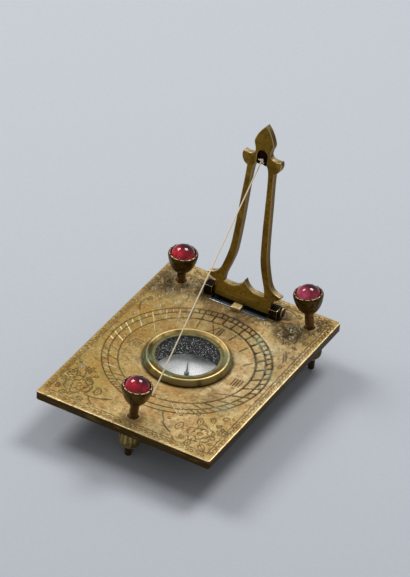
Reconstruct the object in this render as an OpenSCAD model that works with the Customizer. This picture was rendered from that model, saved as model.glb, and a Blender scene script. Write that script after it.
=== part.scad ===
// Travelling sundial in brass: an engraved plate on three levelling screws, a compass let into
// the plate, and a folding frame that holds the shadow string. All sizes are in millimetres.
// Drawing frame: x to the right, y to the back, and z = 0 on top of the plate at its centre.

/* [Dial plate] */
// Width of the plate, left to right
plate_w = 75; // [74:0.5:78]
// Depth of the plate, front to back
plate_d = 101; // [99:0.5:104]
// Thickness of the plate
plate_t = 3.7; // [3.4:0.1:4]
// Radius of the plate's corners
plate_corner = 1; // [0.5:0.1:2]
// Height of the plate's top above the surface under the feet
stand_h = 19; // [18.5:0.5:20]
// Where the string's hole is, in front of the plate's centre
string_hole_y = -28.2; // [-29:0.1:-26]

/* [Compass] */
// Place of the compass, front to back
compass_y = -2.4; // [-3:0.1:-2]
// Outer radius of the bezel on the plate
bezel_r = 17.1; // [16.6:0.1:17.6]
// Radius of the bezel's crest
crest_r = 15.6; // [15.2:0.1:15.9]
// Height of the bezel's crest above the plate
crest_h = 2.7; // [2.4:0.1:2.8]
// Outer radius of the bowl that holds the compass
bowl_r = 14.6; // [14.4:0.1:14.8]
// Inner radius of the bowl
well_r = 13.4; // [13:0.1:13.6]
// Depth of the bowl's floor below the plate's top
well_depth = 7.8; // [7:0.1:8.5]
// Half the length of the needle
needle_r = 9.4; // [8:0.1:11]
// Bearing of the needle's north end, anticlockwise from the right
needle_bearing = 115.5; // [0:0.5:360]

/* [Folding frame] */
// Height of the frame, from the foot of its bar to the tip of the spade
frame_h = 78.2; // [77:0.1:78.5]
// Thickness of the frame
frame_t = 2.8; // [2.6:0.1:3]
// How far the open frame leans back from upright
lean = 7.5; // [5:0.5:9]
// Half the length of the bar between the hinge blocks
bar_x = 12.4; // [12.2:0.1:12.4]
// Place of the hinge pin, front to back
pin_y = 40; // [39.8:0.1:40.2]
// Radius of the hinge pin
pin_r = 0.6; // [0.5:0.05:0.7]
// Height of the hinge pin above the foot of the bar
pin_rise = 2.6; // [2.5:0.1:2.8]
// Depth of the hinge pin behind the frame's front face
pin_in = 1.05; // [1:0.05:1.2]
// Height of the string's eye above the foot of the bar
eye_h = 63.5; // [63:0.1:64]

/* [Levelling screws] */
// Radius of the screws' shanks
shank_r = 1.8; // [1.6:0.05:1.9]
// Height of a head's cup above its shank
cup_h = 8.9; // [8.5:0.1:9.2]
// Outer radius of a cup at its rim
cup_r = 5.95; // [5.7:0.05:6]
// Radius of the stones
stone_r = 4.8; // [4.6:0.05:4.85]
// Height of a stone's dome
dome_h = 3.6; // [3.2:0.1:3.8]
// Length of the threaded bosses below the plate
boss_h = 10; // [9.6:0.1:10.2]

/* [Hidden] */
$fn = 96;

// Gap between parts that turn or slide on each other
running = 0.04;
// Each levelling screw: x, y, lean to the right in degrees, and bare shank above the plate
FRONT = [0.4, -42.8, 4.4, 6.5];
LEFT = [-27.5, 39.6, 1.3, 4.6];
RIGHT = [28.7, 41.4, -6.5, 7.1];

// Hinge: the open frame's rear edge stands just clear of the plate
stop_gap = 0.05;
pin_out = frame_t - pin_in;
pin_z = stop_gap + pin_out * sin(lean) + pin_rise * cos(lean);
block_w = 3.6;
block_front = 37.2;
block_back = 41.6;
block_h = 4.4;
block_x = bar_x + 0.2;
pocket_x = 12.4;
pocket_front = 34.9;
pocket_back = 40.9;
pocket_depth = 2;
lip_back = 36.3;
rivet_r = 1;
rivet_y = 38.6;

// Compass: the glass lies on the bowl's rim, and a split ring holds it down
rim_h = 0.9;
glass_t = 0.8;
glass_r = 14.2;
aperture_r = 13.7;
ring_in = 12.3;
glass_top = rim_h + glass_t + 0.02;
card_t = 0.2;
floor_t = 0.9;
needle_z = -6.9;
needle_t = 0.25;

// Levelling screws
bore_r = shank_r + running;
spigot_r = 2.7;
tenon_r = 1.2;
tenon_h = 3;
seat_h = 6.6;
girdle_h = 8.2;
dome_r = (stone_r * stone_r + dome_h * dome_h) / (2 * dome_h);

// String
string_r = 0.28;
string_sides = 8;
string_hole_r = 0.6;
knot_r = 0.8;
lower_knot_r = 0.95;

// A point of the frame, u behind the pin and s up from it, as y and z on the dial
function leaned(u, s) = [pin_y + u * cos(lean) + s * sin(lean), pin_z - u * sin(lean) + s * cos(lean)];

// The whole object stands with the middle of its length over the origin
tip_y = leaned(pin_out, frame_h - pin_rise)[0];
dial_y = (plate_d / 2 - tip_y) / 2;

module on_dial() translate([0, dial_y, stand_h]) children();
module on_frame() on_dial() translate([0, pin_y, pin_z]) rotate([-lean, 0, 0]) children();
module on_screw(s) on_dial() translate([s[0], s[1], 0]) rotate([0, s[2], 0]) children();

// A smooth line through points p, without its last point, n steps to each stretch
function bend(a, b, c, d, t) = 0.5 * (2 * b + (c - a) * t + (2 * a - 5 * b + 4 * c - d) * t * t
    + (3 * b - a - 3 * c + d) * t * t * t);
function smooth(p, n = 4) = let (m = len(p) - 1) [for (i = [0 : m - 1]) for (k = [0 : n - 1])
    bend(p[max(i - 1, 0)], p[i], p[i + 1], p[min(i + 2, m)], k / n)];
function both_sides(p) = concat(p, [for (i = [len(p) - 1 : -1 : 0]) if (p[i][0] > 0.01) [-p[i][0], p[i][1]]]);

module rounded_plate() {
    square([plate_w - 2 * plate_corner, plate_d], center = true);
    square([plate_w, plate_d - 2 * plate_corner], center = true);
    for (x = [-1, 1], y = [-1, 1])
        translate([x * (plate_w / 2 - plate_corner), y * (plate_d / 2 - plate_corner)])
            circle(plate_corner);
}

// Engraved plate, with a round hole for the compass, a pocket for the hinge and holes for the rest
module dial_plate() color("#B08C4C") difference() {
    on_dial() translate([0, 0, -plate_t]) linear_extrude(plate_t) rounded_plate();
    on_dial() {
        translate([0, compass_y, -plate_t - 1]) cylinder(r = bowl_r + 0.05, h = plate_t + 2);
        translate([-pocket_x, pocket_front, -pocket_depth])
            cube([2 * pocket_x, pocket_back - pocket_front, pocket_depth + 1]);
        for (x = [-1, 1])
            translate([x * (block_x + block_w / 2), rivet_y, -plate_t - 1]) cylinder(r = rivet_r, h = plate_t + 2);
        translate([0, string_hole_y, -plate_t - 1]) cylinder(r = string_hole_r, h = plate_t + 2);
        translate([0, string_hole_y, -0.7]) cylinder(r1 = string_hole_r, r2 = 1.6, h = 1);
    }
    for (s = [FRONT, LEFT, RIGHT])
        on_screw(s) translate([0, 0, -plate_t - 2]) cylinder(r = spigot_r, h = plate_t + 4);
}

// Bowl with a flange on the plate and a rim that carries the glass
module compass_bowl() color("#6E5A2E") on_dial() translate([0, compass_y, 0])
    rotate_extrude() polygon([
        [0, -well_depth - floor_t], [bowl_r - 0.8, -well_depth - floor_t], [bowl_r, -well_depth - floor_t + 0.8],
        [bowl_r, 0], [bowl_r + 1.2, 0], [bowl_r + 1.2, 0.45], [bowl_r, 0.45], [bowl_r, rim_h],
        [well_r, rim_h], [well_r, -well_depth], [0, -well_depth]]);

// Turned ring: a steep outer wall, a bright crest and a slope down to the glass
module compass_bezel() color("#C9A24E") on_dial() translate([0, compass_y, 0])
    rotate_extrude() polygon(concat(
        smooth([[bezel_r, 0], [bezel_r - 0.1, 0.7], [bezel_r - 0.5, 1.7], [crest_r + 0.5, crest_h - 0.25],
            [crest_r, crest_h]]),
        smooth([[crest_r, crest_h], [crest_r - 0.7, crest_h - 0.2], [aperture_r + 0.5, 2.15], [aperture_r, 2.05]]),
        [[aperture_r, 2.05], [aperture_r, glass_top], [glass_r + 0.1, glass_top], [glass_r + 0.1, rim_h],
            [bowl_r + 0.05, rim_h], [bowl_r + 0.05, 0.5], [bowl_r + 1.25, 0.5], [bowl_r + 1.25, 0]]));

module compass_glass() color("#DDE6E8", 0.4) on_dial() translate([0, compass_y, rim_h])
    cylinder(r = glass_r, h = glass_t);

// Split ring, sprung into the bezel on top of the glass
module glass_ring() color("#9A8446") on_dial() translate([0, compass_y, glass_top]) difference() {
    cylinder(r = aperture_r, h = 0.35);
    translate([0, 0, -1]) cylinder(r = ring_in, h = 3);
    rotate(needle_bearing - 60) translate([ring_in - 1, -0.2, -1]) cube([4, 0.4, 3]);
}

module compass_card() color("#E9E9E6") on_dial() translate([0, compass_y, -well_depth]) difference() {
    cylinder(r = well_r - 0.2, h = card_t);
    translate([0, 0, -1]) cylinder(r = 0.9, h = 3);
}

// Steel point on a brass foot, on which the needle turns
module needle_pivot() color("#7C7A70") on_dial() translate([0, compass_y, -well_depth]) rotate_extrude()
    polygon([[0, 0], [0.9, 0], [0.9, 0.3], [0.4, 0.45], [0.35, 0.75], [0, 1.35]]);

// Blued steel needle, a thin bar drawn to a point at both ends, with an eye for its cap
module compass_needle() color("#2B2E36") on_dial() translate([0, compass_y, needle_z]) rotate(needle_bearing)
    linear_extrude(needle_t) difference() {
        polygon([[-needle_r, 0], [-1.2, -0.3], [-0.7, -0.95], [0.7, -0.95], [1.2, -0.3],
            [needle_r, 0], [1.2, 0.3], [0.7, 0.95], [-0.7, 0.95], [-1.2, 0.3]]);
        circle(0.7);
    }

// Small brass cap, pressed into the needle, with a hollow that rides on the pivot
module needle_cap() color("#8C8A50") on_dial() translate([0, compass_y, needle_z]) difference() {
    union() {
        cylinder(r = 0.7, h = needle_t);
        translate([0, 0, needle_t]) cylinder(r1 = 1, r2 = 0.45, h = 0.7);
    }
    translate([0, 0, -0.01]) cylinder(r1 = 0.5, r2 = 0.15, h = 0.7);
}

// Strip let into the plate under the frame's bar, with a steel lip in front
module hinge_bed() color("#5A6262") on_dial() {
    translate([-pocket_x, pocket_front, -pocket_depth]) cube([2 * pocket_x, pocket_back - pocket_front, 0.6]);
    translate([-pocket_x, pocket_front, -pocket_depth + 0.3])
        cube([2 * pocket_x, lip_back - pocket_front, pocket_depth + 0.05]);
}

module hinge_block(side) on_dial() difference() {
    translate([side > 0 ? block_x : -block_x - block_w, block_front, 0])
        cube([block_w, block_back - block_front, block_h]);
    translate([-bar_x * 2, pin_y, pin_z]) rotate([0, 90, 0]) cylinder(r = pin_r, h = bar_x * 4);
}
module hinge_block_left() color("#241E14") hinge_block(-1);
module hinge_block_right() color("#241E14") hinge_block(1);

// Pin through both blocks and the frame's bar, with a flat round head at the right
module hinge_pin() color("#4A4232") on_dial() translate([0, pin_y, pin_z]) rotate([0, 90, 0]) {
    translate([0, 0, -block_x - block_w - 0.3]) cylinder(r = pin_r, h = 2 * (block_x + block_w) + 0.5);
    translate([0, 0, block_x + block_w]) cylinder(r = 2.05, h = 1.5);
}

// Two rivets that hold the blocks, headed under the plate
module hinge_rivets() color("#8A6E38") on_dial() for (x = [-1, 1])
    translate([x * (block_x + block_w / 2), rivet_y, -plate_t]) {
        cylinder(r = rivet_r, h = plate_t);
        translate([0, 0, -0.7]) cylinder(r1 = 1.2, r2 = 1.8, h = 0.7);
    }

// Low block on which the folded frame's bar comes to lie, notched over the steel lip
module frame_rest() color("#C2A878") on_dial() difference() {
    translate([-1.95, 33.5, 0]) cube([3.9, 3.2, 1.85]);
    translate([-pocket_x, pocket_front, -1]) cube([2 * pocket_x, lip_back - pocket_front, 1.35]);
}

// Right half of the frame's outline, from the foot of the bar to the tip of the spade
function bar_foot() = concat([[0, 0]], smooth([[bar_x - 1.2, 0], [bar_x - 0.35, 0.35], [bar_x, 1.2]]));
function toe() = concat(smooth([[bar_x, 6.4], [13.8, 6.75], [15.1, 7.35], [15.95, 8.2]]), [[15.95, 8.2]],
    smooth([[16.05, 8.95], [14.7, 9.2], [13.2, 9.8], [11.8, 11], [10.7, 12.9], [9.9, 15.4]]));
function leg_outside() = smooth([[9.9, 15.4], [8.7, 20], [7.9, 25], [7.2, 35], [6.65, 45], [6.1, 54], [5.9, 59.6]]);
function lobe() = concat(smooth([[5.9, 59.6], [7.2, 60.4], [8.2, 62], [8.5, 63.8], [8.1, 65.2]], 3),
    smooth([[8.1, 65.2], [6.4, 64.9], [4.8, 65.1], [3.6, 65.8], [3.25, 66.6]], 3));
function spade() = concat(
    smooth([[3.25, 66.6], [3.45, 68.2], [4.1, 70.2], [4, 71.6], [3.1, 73.9], [1.75, 76.2], [0, frame_h]], 3),
    [[0, frame_h]]);
frame_outline = concat(bar_foot(), toe(), leg_outside(), lobe(), spade());

// Right half of the opening: the scalloped bar with its cusp, the legs and the arch under the eye
slot_x = 2.3;
slot_top = 65.4;
opening_outline = concat(
    smooth([[0, 10.9], [0.7, 9.5], [2.1, 7.9], [4.2, 6.7], [6.6, 6.45], [8.9, 7]], 3),
    smooth([[8.9, 7], [8.5, 10], [6.9, 15], [5.6, 20], [5, 25], [4.4, 35], [4.05, 45], [3.8, 52], [3.4, 58],
        [3, 60.2], [slot_x, 61.8]]),
    [[slot_x, 61.8], [slot_x, slot_top], [0, slot_top]]);

module frame_flat() difference() {
    polygon(both_sides(frame_outline));
    polygon(both_sides(opening_outline));
    translate([0, slot_top]) circle(slot_x);
}

// Places a flat drawing of the frame: its foot below the pin, thickness t from depth u behind the pin
module stand_up(u, t) on_frame() translate([0, u + t, -pin_rise]) rotate([90, 0, 0]) linear_extrude(t) children();

// Flat frame with two curved legs, a scalloped bar, side lobes and a spade on top
module gnomon_frame() color("#6E5018") difference() {
    stand_up(-pin_in, frame_t) frame_flat();
    on_frame() rotate([0, 90, 0]) cylinder(r = pin_r + running, h = 3 * bar_x, center = true);
}

// Dark block in the slot under the spade, set back from the front, that the string passes through
saddle_front = 0.9 - pin_in;
saddle_foot = 61.2;
module string_saddle() color("#2A2014") difference() {
    stand_up(saddle_front, pin_out - saddle_front) difference() {
        union() {
            translate([0, slot_top]) circle(slot_x);
            translate([-slot_x, saddle_foot]) square([2 * slot_x, slot_top - saddle_foot]);
        }
        translate([0, saddle_foot - 1.2]) circle(1.5);
    }
    on_frame() translate([0, 0, eye_h - pin_rise]) rotate([90, 0, 0]) cylinder(r = 0.4, h = 20, center = true);
}

// Knot in front of the saddle, where the string is tied
knot = leaned(saddle_front - knot_r, eye_h - pin_rise);
module upper_knot() color("#E2C9A6") on_dial() translate([0, knot[0], knot[1]]) sphere(knot_r);

// Knot under the plate, which stops the string in its hole
module lower_knot() color("#E2C9A6") on_dial() translate([0, string_hole_y, -plate_t - 0.9]) sphere(lower_knot_r);

// The string runs straight from the upper knot to its hole and turns down through the plate
hole_mouth = [string_hole_y + 0.55, 0.45];
string_line = (knot - hole_mouth) / norm(knot - hole_mouth);
string_top = knot - string_line * (knot_r + 0.05);
string_steps = 20;
string_path = concat([for (i = [0 : string_steps]) string_top + (hole_mouth - string_top) * i / string_steps],
    [[string_hole_y + 0.13, -0.1], [string_hole_y, -0.8], [string_hole_y, -plate_t - 0.4]]);
function string_way(i) = let (m = len(string_path) - 1, v = string_path[min(i + 1, m)] - string_path[max(i - 1, 0)])
    v / norm(v);
module string() color("#E2C9A6") on_dial() {
    rings = len(string_path);
    points = [for (i = [0 : rings - 1], k = [0 : string_sides - 1])
        let (w = string_way(i), a = 360 * k / string_sides, side = string_r * cos(a), up = string_r * sin(a))
        [side, string_path[i][0] - w[1] * up, string_path[i][1] + w[0] * up]];
    walls = [for (i = [0 : rings - 2], k = [0 : string_sides - 1])
        let (a = i * string_sides + k, b = i * string_sides + (k + 1) % string_sides)
        [a, b, b + string_sides, a + string_sides]];
    ends = [[for (k = [string_sides - 1 : -1 : 0]) k],
        [for (k = [0 : string_sides - 1]) (rings - 1) * string_sides + k]];
    polyhedron(points, concat(walls, ends), convexity = 4);
}

// Bell-shaped nut under the plate; its neck fills the plate's hole and is flush on top
module boss(s) {
    difference() {
        on_screw(s) rotate_extrude() polygon(concat(
            [[bore_r, -plate_t - boss_h], [bore_r, -plate_t + 1], [3.9, -plate_t + 1]],
            smooth([[3.9, -plate_t], [4, -plate_t - 2], [4.2, -plate_t - 4.8], [4.4, -plate_t - 7],
                [4.3, -plate_t - 8.3], [3.8, -plate_t - boss_h + 0.6], [3, -plate_t - boss_h]]),
            [[3, -plate_t - boss_h]]));
        on_dial() translate([s[0] - 8, s[1] - 8, -plate_t]) cube([16, 16, 10]);
    }
    difference() {
        on_screw(s) translate([0, 0, -plate_t - 1]) cylinder(r = spigot_r, h = plate_t + 3);
        on_screw(s) translate([0, 0, -plate_t - 2]) cylinder(r = bore_r, h = plate_t + 6);
        on_screw(s) translate([0, 0, -0.5]) cylinder(r1 = bore_r, r2 = bore_r + 1.4, h = 1.4);
        on_dial() translate([s[0] - 8, s[1] - 8, 0]) cube([16, 16, 10]);
    }
}
module front_boss() color("#7A6234") boss(FRONT);
module left_boss() color("#7A6234") boss(LEFT);
module right_boss() color("#7A6234") boss(RIGHT);

// Screw: a tenon for the head, a shank, and a tapered foot with a worn flat that stands level
module screw(s) difference() {
    on_screw(s) rotate_extrude() polygon([
        [0, -stand_h - 1], [1.1, -stand_h - 1], [1.7, -plate_t - boss_h - 0.5], [shank_r, -plate_t - boss_h],
        [shank_r, s[3] - 0.03], [tenon_r, s[3] - 0.03], [tenon_r, s[3] + tenon_h], [0, s[3] + tenon_h]]);
    translate([-60, -60, -10]) cube([120, 120, 10]);
}
module front_screw() color("#4A3C22") screw(FRONT);
module left_screw() color("#4A3C22") screw(LEFT);
module right_screw() color("#4A3C22") screw(RIGHT);

// Head: a wine-cup shape whose rim closes over the stone
module cup(s) on_screw(s) translate([0, 0, s[3]]) rotate_extrude() polygon(concat(
    [[tenon_r + running, 0]],
    smooth([[1.9, 0], [3.2, 0.8], [4.55, 2.8], [5.4, 5.1], [5.8, 6.9], [cup_r, 7.9], [5.7, cup_h - 0.25], [5.15, cup_h]]),
    [[5.15, cup_h], [stone_r + 0.15, cup_h - 0.3], [stone_r + 0.05, girdle_h], [stone_r + 0.05, seat_h], [0, seat_h],
        [0, tenon_h + 0.05], [tenon_r + running, tenon_h + 0.05]]));
module front_cup() color("#2E2414") cup(FRONT);
module left_cup() color("#2E2414") cup(LEFT);
module right_cup() color("#2E2414") cup(RIGHT);

// Domed red glass stone
module stone(s) on_screw(s) translate([0, 0, s[3] + seat_h]) {
    cylinder(r = stone_r, h = girdle_h - seat_h);
    translate([0, 0, girdle_h - seat_h]) intersection() {
        translate([0, 0, dome_h - dome_r]) sphere(dome_r);
        cylinder(r = stone_r, h = 2 * dome_h);
    }
}
module front_stone() color("#8B1028") stone(FRONT);
module left_stone() color("#8B1028") stone(LEFT);
module right_stone() color("#A02840") stone(RIGHT);

dial_plate();
compass_bowl();
compass_bezel();
compass_glass();
glass_ring();
compass_card();
needle_pivot();
compass_needle();
needle_cap();
hinge_bed();
hinge_block_left();
hinge_block_right();
hinge_pin();
hinge_rivets();
frame_rest();
gnomon_frame();
string_saddle();
string();
upper_knot();
lower_knot();
front_boss();
left_boss();
right_boss();
front_screw();
left_screw();
right_screw();
front_cup();
left_cup();
right_cup();
front_stone();
left_stone();
right_stone();
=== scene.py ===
"""Dresses the travelling sundial: engraving, finishes, string, compass, screw heads, stage and camera."""

import math
from contextlib import contextmanager

import bmesh
import bpy
from bpy.props import FloatProperty, FloatVectorProperty, IntProperty, PointerProperty
from mathutils import Matrix, Vector, kdtree
from mathutils.geometry import delaunay_2d_cdt


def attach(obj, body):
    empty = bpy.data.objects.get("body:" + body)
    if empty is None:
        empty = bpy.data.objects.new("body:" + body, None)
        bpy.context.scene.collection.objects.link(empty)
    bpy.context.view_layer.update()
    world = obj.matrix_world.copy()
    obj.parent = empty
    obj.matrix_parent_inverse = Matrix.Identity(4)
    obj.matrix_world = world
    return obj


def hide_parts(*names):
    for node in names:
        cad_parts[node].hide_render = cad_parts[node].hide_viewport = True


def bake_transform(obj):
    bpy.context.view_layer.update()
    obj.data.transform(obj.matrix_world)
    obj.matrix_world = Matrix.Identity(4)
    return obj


bl_info = {
    "name": "Travelling Sundial",
    "version": (1, 0, 0),
    "blender": (4, 5, 0),
    "location": "View3D > Sidebar > Sundial",
    "description": "Dresses an engraved brass sundial with its compass, folding frame and levelling screws",
    "category": "Object",
}

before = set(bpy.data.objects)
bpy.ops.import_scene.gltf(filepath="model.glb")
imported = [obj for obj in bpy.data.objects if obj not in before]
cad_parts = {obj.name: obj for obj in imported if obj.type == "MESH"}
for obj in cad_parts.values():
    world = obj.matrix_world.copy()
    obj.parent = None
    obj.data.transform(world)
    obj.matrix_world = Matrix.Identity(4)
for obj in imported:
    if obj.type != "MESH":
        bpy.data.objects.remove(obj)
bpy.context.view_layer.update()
MM = 0.001

# The dial's own drawing: x to the right, y to the back, z = 0 on the plate, all in millimetres
STAND_H = 19.0
DIAL_Y = -0.5514
PLATE_W, PLATE_D, PLATE_T, PLATE_CORNER = 75.0, 101.0, 3.7, 1.0
HOUR_RINGS = (32.4, 29.9, 26.2)
STRING_HOLE_Y, STRING_HOLE_R, COUNTERSINK_R, COUNTERSINK_DEPTH = -28.2, 0.6, 1.3, 0.7
COMPASS_Y, BEZEL_R, CREST_R, CREST_H = -2.4, 17.1, 15.6, 2.7
BOWL_R, WELL_R, WELL_DEPTH, FLOOR_T = 14.6, 13.4, 7.8, 0.9
RIM_H, GLASS_T, GLASS_R, APERTURE_R, RING_IN, RING_T = 0.9, 0.8, 14.2, 13.7, 12.3, 0.35
GLASS_TOP = RIM_H + GLASS_T + 0.02
NEEDLE_Z, NEEDLE_T, NEEDLE_BEARING, CARD_T = -6.9, 0.25, 115.5, 0.2
FRAME_H, FRAME_T, LEAN, BAR_X = 78.2, 2.8, 7.5, 12.4
PIN_Y, PIN_RISE, PIN_IN, STOP_GAP = 40.0, 2.6, 1.05, 0.05
EYE_H, SLOT_X, SLOT_TOP = 63.5, 2.3, 65.4
POCKET_X, POCKET_FRONT, POCKET_BACK, POCKET_DEPTH = 12.4, 34.9, 40.9, 2.0
SADDLE_FRONT = -0.15
# How near the graver comes to the plate's edge and to a hole, how close its cuts are measured, how far from
# its middle a cut is felt as a share of a ruled line, and from which depth and over how much it holds soil
EDGE_CLEAR, HOLE_CLEAR, CUT_STEP, CUT_REACH, SOIL_FROM, SOIL_OVER = 0.75, 0.45, 0.11, 0.83, 0.05, 0.12
STRING_R, STRING_STEP, KNOT_R, LOWER_KNOT_R = 0.28, 0.3, 0.8, 0.95
SHANK_R, BORE_R, SPIGOT_R, BOSS_H = 1.8, 1.84, 2.7, 10.0
CUP_H, CUP_R, STONE_R, SEAT_H, GIRDLE_H, DOME_H = 8.9, 5.95, 4.8, 6.6, 8.2, 3.6
CUP_CREST, CLAWS_R = CUP_H - 0.1, 5.22
THREAD_RIDGE = 0.16
# Each levelling screw: x, y, lean to the right in degrees, and bare shank above the plate
SCREWS = {"front": (0.4, -42.8, 4.4, 6.5), "left": (-27.5, 39.6, 1.3, 4.6), "right": (28.7, 41.4, -6.5, 7.1)}
# How dark each screw's boss and foot are painted, as painted shade under the plate
UNDER_PLATE_SHADE = {"front": 0.0, "left": 0.3, "right": 0.8}
PIN_OUT = FRAME_T - PIN_IN
PIN_Z = STOP_GAP + PIN_OUT * math.sin(math.radians(LEAN)) + PIN_RISE * math.cos(math.radians(LEAN))
# How squarely a facet of the frame looks to the front or back where it is flat, and where it is an edge
FLAT, ROUNDED = 0.97, 0.25

ON_DIAL = Matrix.Translation((0, DIAL_Y * MM, STAND_H * MM)) @ Matrix.Diagonal((MM, MM, MM, 1))
ON_COMPASS = ON_DIAL @ Matrix.Translation((0, COMPASS_Y, 0))
ON_FRAME = ON_DIAL @ Matrix.Translation((0, PIN_Y, PIN_Z)) @ Matrix.Rotation(math.radians(-LEAN), 4, "X")
UNMOVED = Matrix.Identity(4)

# Where the camera and the lamps point on the dial, how far off the lamps stand and the floor reaches in
# metres, how strong the room's light is, and the width of the camera's sensor in millimetres
CAMERA_TARGET, LAMP_TARGET, LAMP_GAP, FLOOR_REACH = (-16.9, 39.9, 0), (0, 0, 10), 1.05, 3.0
ROOM_LIGHT, SENSOR_W = 0.3, 36
# Points closer than this many metres are one, in a new mesh and in one that a solid or a curve gives
DOUBLE, WELD = 1e-7, 2e-6
# A radius in millimetres that counts as none, how near points of the engraving are one, and the share of a
# hole's radius within which a triangle is open
ON_AXIS, SAME_POINT, OPEN_SHARE = 1e-6, 1e-5, 0.9995


def on_screw(name):
    """The upright drawing of a levelling screw, moved to its place and lean on the dial."""
    x, y, lean, _ = SCREWS[name]
    return ON_DIAL @ Matrix.Translation((x, y, 0)) @ Matrix.Rotation(math.radians(lean), 4, "Y")


def linear(code):
    """An sRGB hex colour as linear red, green, blue and alpha."""
    parts = [int(code[i : i + 2], 16) / 255 for i in (1, 3, 5)]
    return [p / 12.92 if p <= 0.04045 else ((p + 0.055) / 1.055) ** 2.4 for p in parts] + [1.0]


def colour(name, description, code):
    """A colour, given here as an sRGB hex code."""
    return FloatVectorProperty(name=name, description=description, subtype="COLOR", size=4, min=0, max=1,
                               default=linear(code))


def length(name, description, default):
    """A length, given here in millimetres."""
    return FloatProperty(name=name, description=description, default=default * MM, unit="LENGTH", precision=5)


def degrees(name, description, default):
    """An angle, given here in degrees."""
    return FloatProperty(name=name, description=description, default=math.radians(default), subtype="ANGLE")


# Patina on the plate: a centre, how far it is full and reaches, in millimetres, and how dark it is
STAINS = (((0, 38, 0), 7, 19, 0.75), ((16, 39, 0), 3, 11, 0.95), ((-16, 39, 0), 3, 11, 0.85),
          ((23.5, 33.5, 0), 3, 9, 1.0), ((-29.5, 37, 0), 4, 12, 0.85), ((28.7, 41.4, 0), 3, 7, 0.75),
          ((0.4, -42.8, 0), 3.2, 6, 0.5), ((16.5, -16, 0), 2, 12, 0.4), ((4, 22, 0), 2, 10, 0.4),
          ((30, 22, 0), 2, 9, 0.35), ((-34, 30, 0), 2, 8, 0.5))

# Where the frame's edges are painted pale, as rubbed bare metal and as their highlight, in the same way:
# spade, lobes, left leg, cusp and toes
RUBBED_AND_HIGHLIGHTED = (((2.5, 50, 76), 4, 9, 1.0), ((-8, 48.5, 65), 2, 6, 0.9), ((8, 48.5, 65), 2, 6, 0.9),
          ((-5, 45, 50), 26, 46, 0.35), ((0, 41, 11), 2, 6, 0.9), ((14, 41, 9), 3, 8, 1.0),
          ((-14, 41, 9), 3, 8, 1.0))


class SundialString(bpy.types.PropertyGroup):
    lay: length("Lay", "Length of one turn of the thread's strands", 1.7)
    strand_depth: FloatProperty(name="Strand depth", description="How deep the strands part, as a share",
                                default=0.12, min=0, max=0.5, subtype="FACTOR")
    thread: colour("Thread", "Colour of the cotton", "#FFEECA")


class SundialPlate(bpy.types.PropertyGroup):
    ring_y: length("Ring centre", "Centre of the hour rings", -2.6)
    hour_y: length("Hour centre", "Where the hour lines meet", -21.5)
    latitude: degrees("Latitude", "Latitude that the hour lines are drawn for", 44.4)
    line_w: length("Line width", "Width of a ruled line", 0.78)
    flower_w: length("Ornament width", "Width of an ornament's stroke", 0.8)
    graver_slope: FloatProperty(name="Graver slope", description="Depth of a cut over half its width",
                                default=0.75)
    edge: length("Edge", "Width of the rubbed edge", 0.36)
    brass: colour("Brass", "Rubbed brass of the plate", "#E4C78A")
    dull: colour("Dull brass", "Tarnished brass of the plate", "#A2864F")
    # The patina colour is also painted round the bezel's foot as its shadow
    patina: colour("Patina", "Brown patina round the hinge", "#4E3E26")
    soil: colour("Soil", "Old dirt in the cuts", "#2A1D0C")
    verdigris: colour("Verdigris", "Green bloom on the rings", "#A0AC88")


class SundialCompass(bpy.types.PropertyGroup):
    brass: colour("Bezel brass", "Polished brass of the bezel", "#94794A")
    blackened: colour("Well", "Blackened inside of the bowl", "#14130F")
    card: colour("Card", "Paper of the compass card", "#FDFDFD")
    dust_gap: length("Dust", "Distance from one speck of dust to the next", 0.4)


class SundialFrame(bpy.types.PropertyGroup):
    edge: length("Edge", "Width of the frame's rounded edge", 0.26)
    brass: colour("Frame brass", "Olive brown brass of the frame", "#9A7A2A")
    # Pale brass painted on the edges, as rubbed metal and as their highlight, and on the walls' upper faces
    # as painted light
    rubbed: colour("Rubbed edge", "Brass on the rubbed edges", "#D8BE88")
    # Darker than the frame's brass, as painted shade on the upright walls
    walls: colour("Walls", "Sawn walls of the frame", "#72561C")


class SundialScrews(bpy.types.PropertyGroup):
    pitch: length("Thread pitch", "Pitch of the screws' thread", 0.8)
    claws: IntProperty(name="Claws", description="Claws round each stone", default=14, min=6, max=24)
    flutes: IntProperty(name="Flutes", description="Flutes round each boss", default=12, min=6, max=24)
    stone: colour("Stone", "Red glass of the front and left stones", "#860A20")
    right_stone: colour("Right stone", "Pinker glass of the right stone", "#8C1836")
    glow: colour("Glow", "Light gathered in a red stone's lower edge", "#F0263E")
    right_glow: colour("Right glow", "Light gathered in the pinker stone's lower edge", "#F05A7C")


class SundialStage(bpy.types.PropertyGroup):
    azimuth: degrees("Azimuth", "Turn of the camera round the dial", 27.95)
    elevation: degrees("Elevation", "Height of the camera as an angle", 36.99)
    roll: degrees("Roll", "Tilt of the picture", 3.73)
    distance: length("Distance", "From the camera to its target", 1520.8)
    lens: FloatProperty(name="Lens", description="Focal length in millimetres", default=244.88)
    floor: colour("Floor", "Pale floor", "#C3C7CD")
    world: colour("Room", "Light of the room", "#F1F4F8")
    key_power: FloatProperty(name="Key power", description="Power of the left lamp", default=4.9,
                             unit="POWER")
    back_power: FloatProperty(name="Back power", description="Power of the back lamp", default=5.0,
                              unit="POWER")


# Meshes

def heading(angle):
    """The direction at this angle from the x axis."""
    return Vector((math.cos(angle), math.sin(angle)))


def way_at(line, i, closed):
    """The direction of a line of points at its point i."""
    ahead = line[(i + 1) % len(line)] if closed else line[min(i + 1, len(line) - 1)]
    behind = line[i - 1] if closed else line[max(i - 1, 0)]
    return (ahead - behind).normalized()


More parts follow.
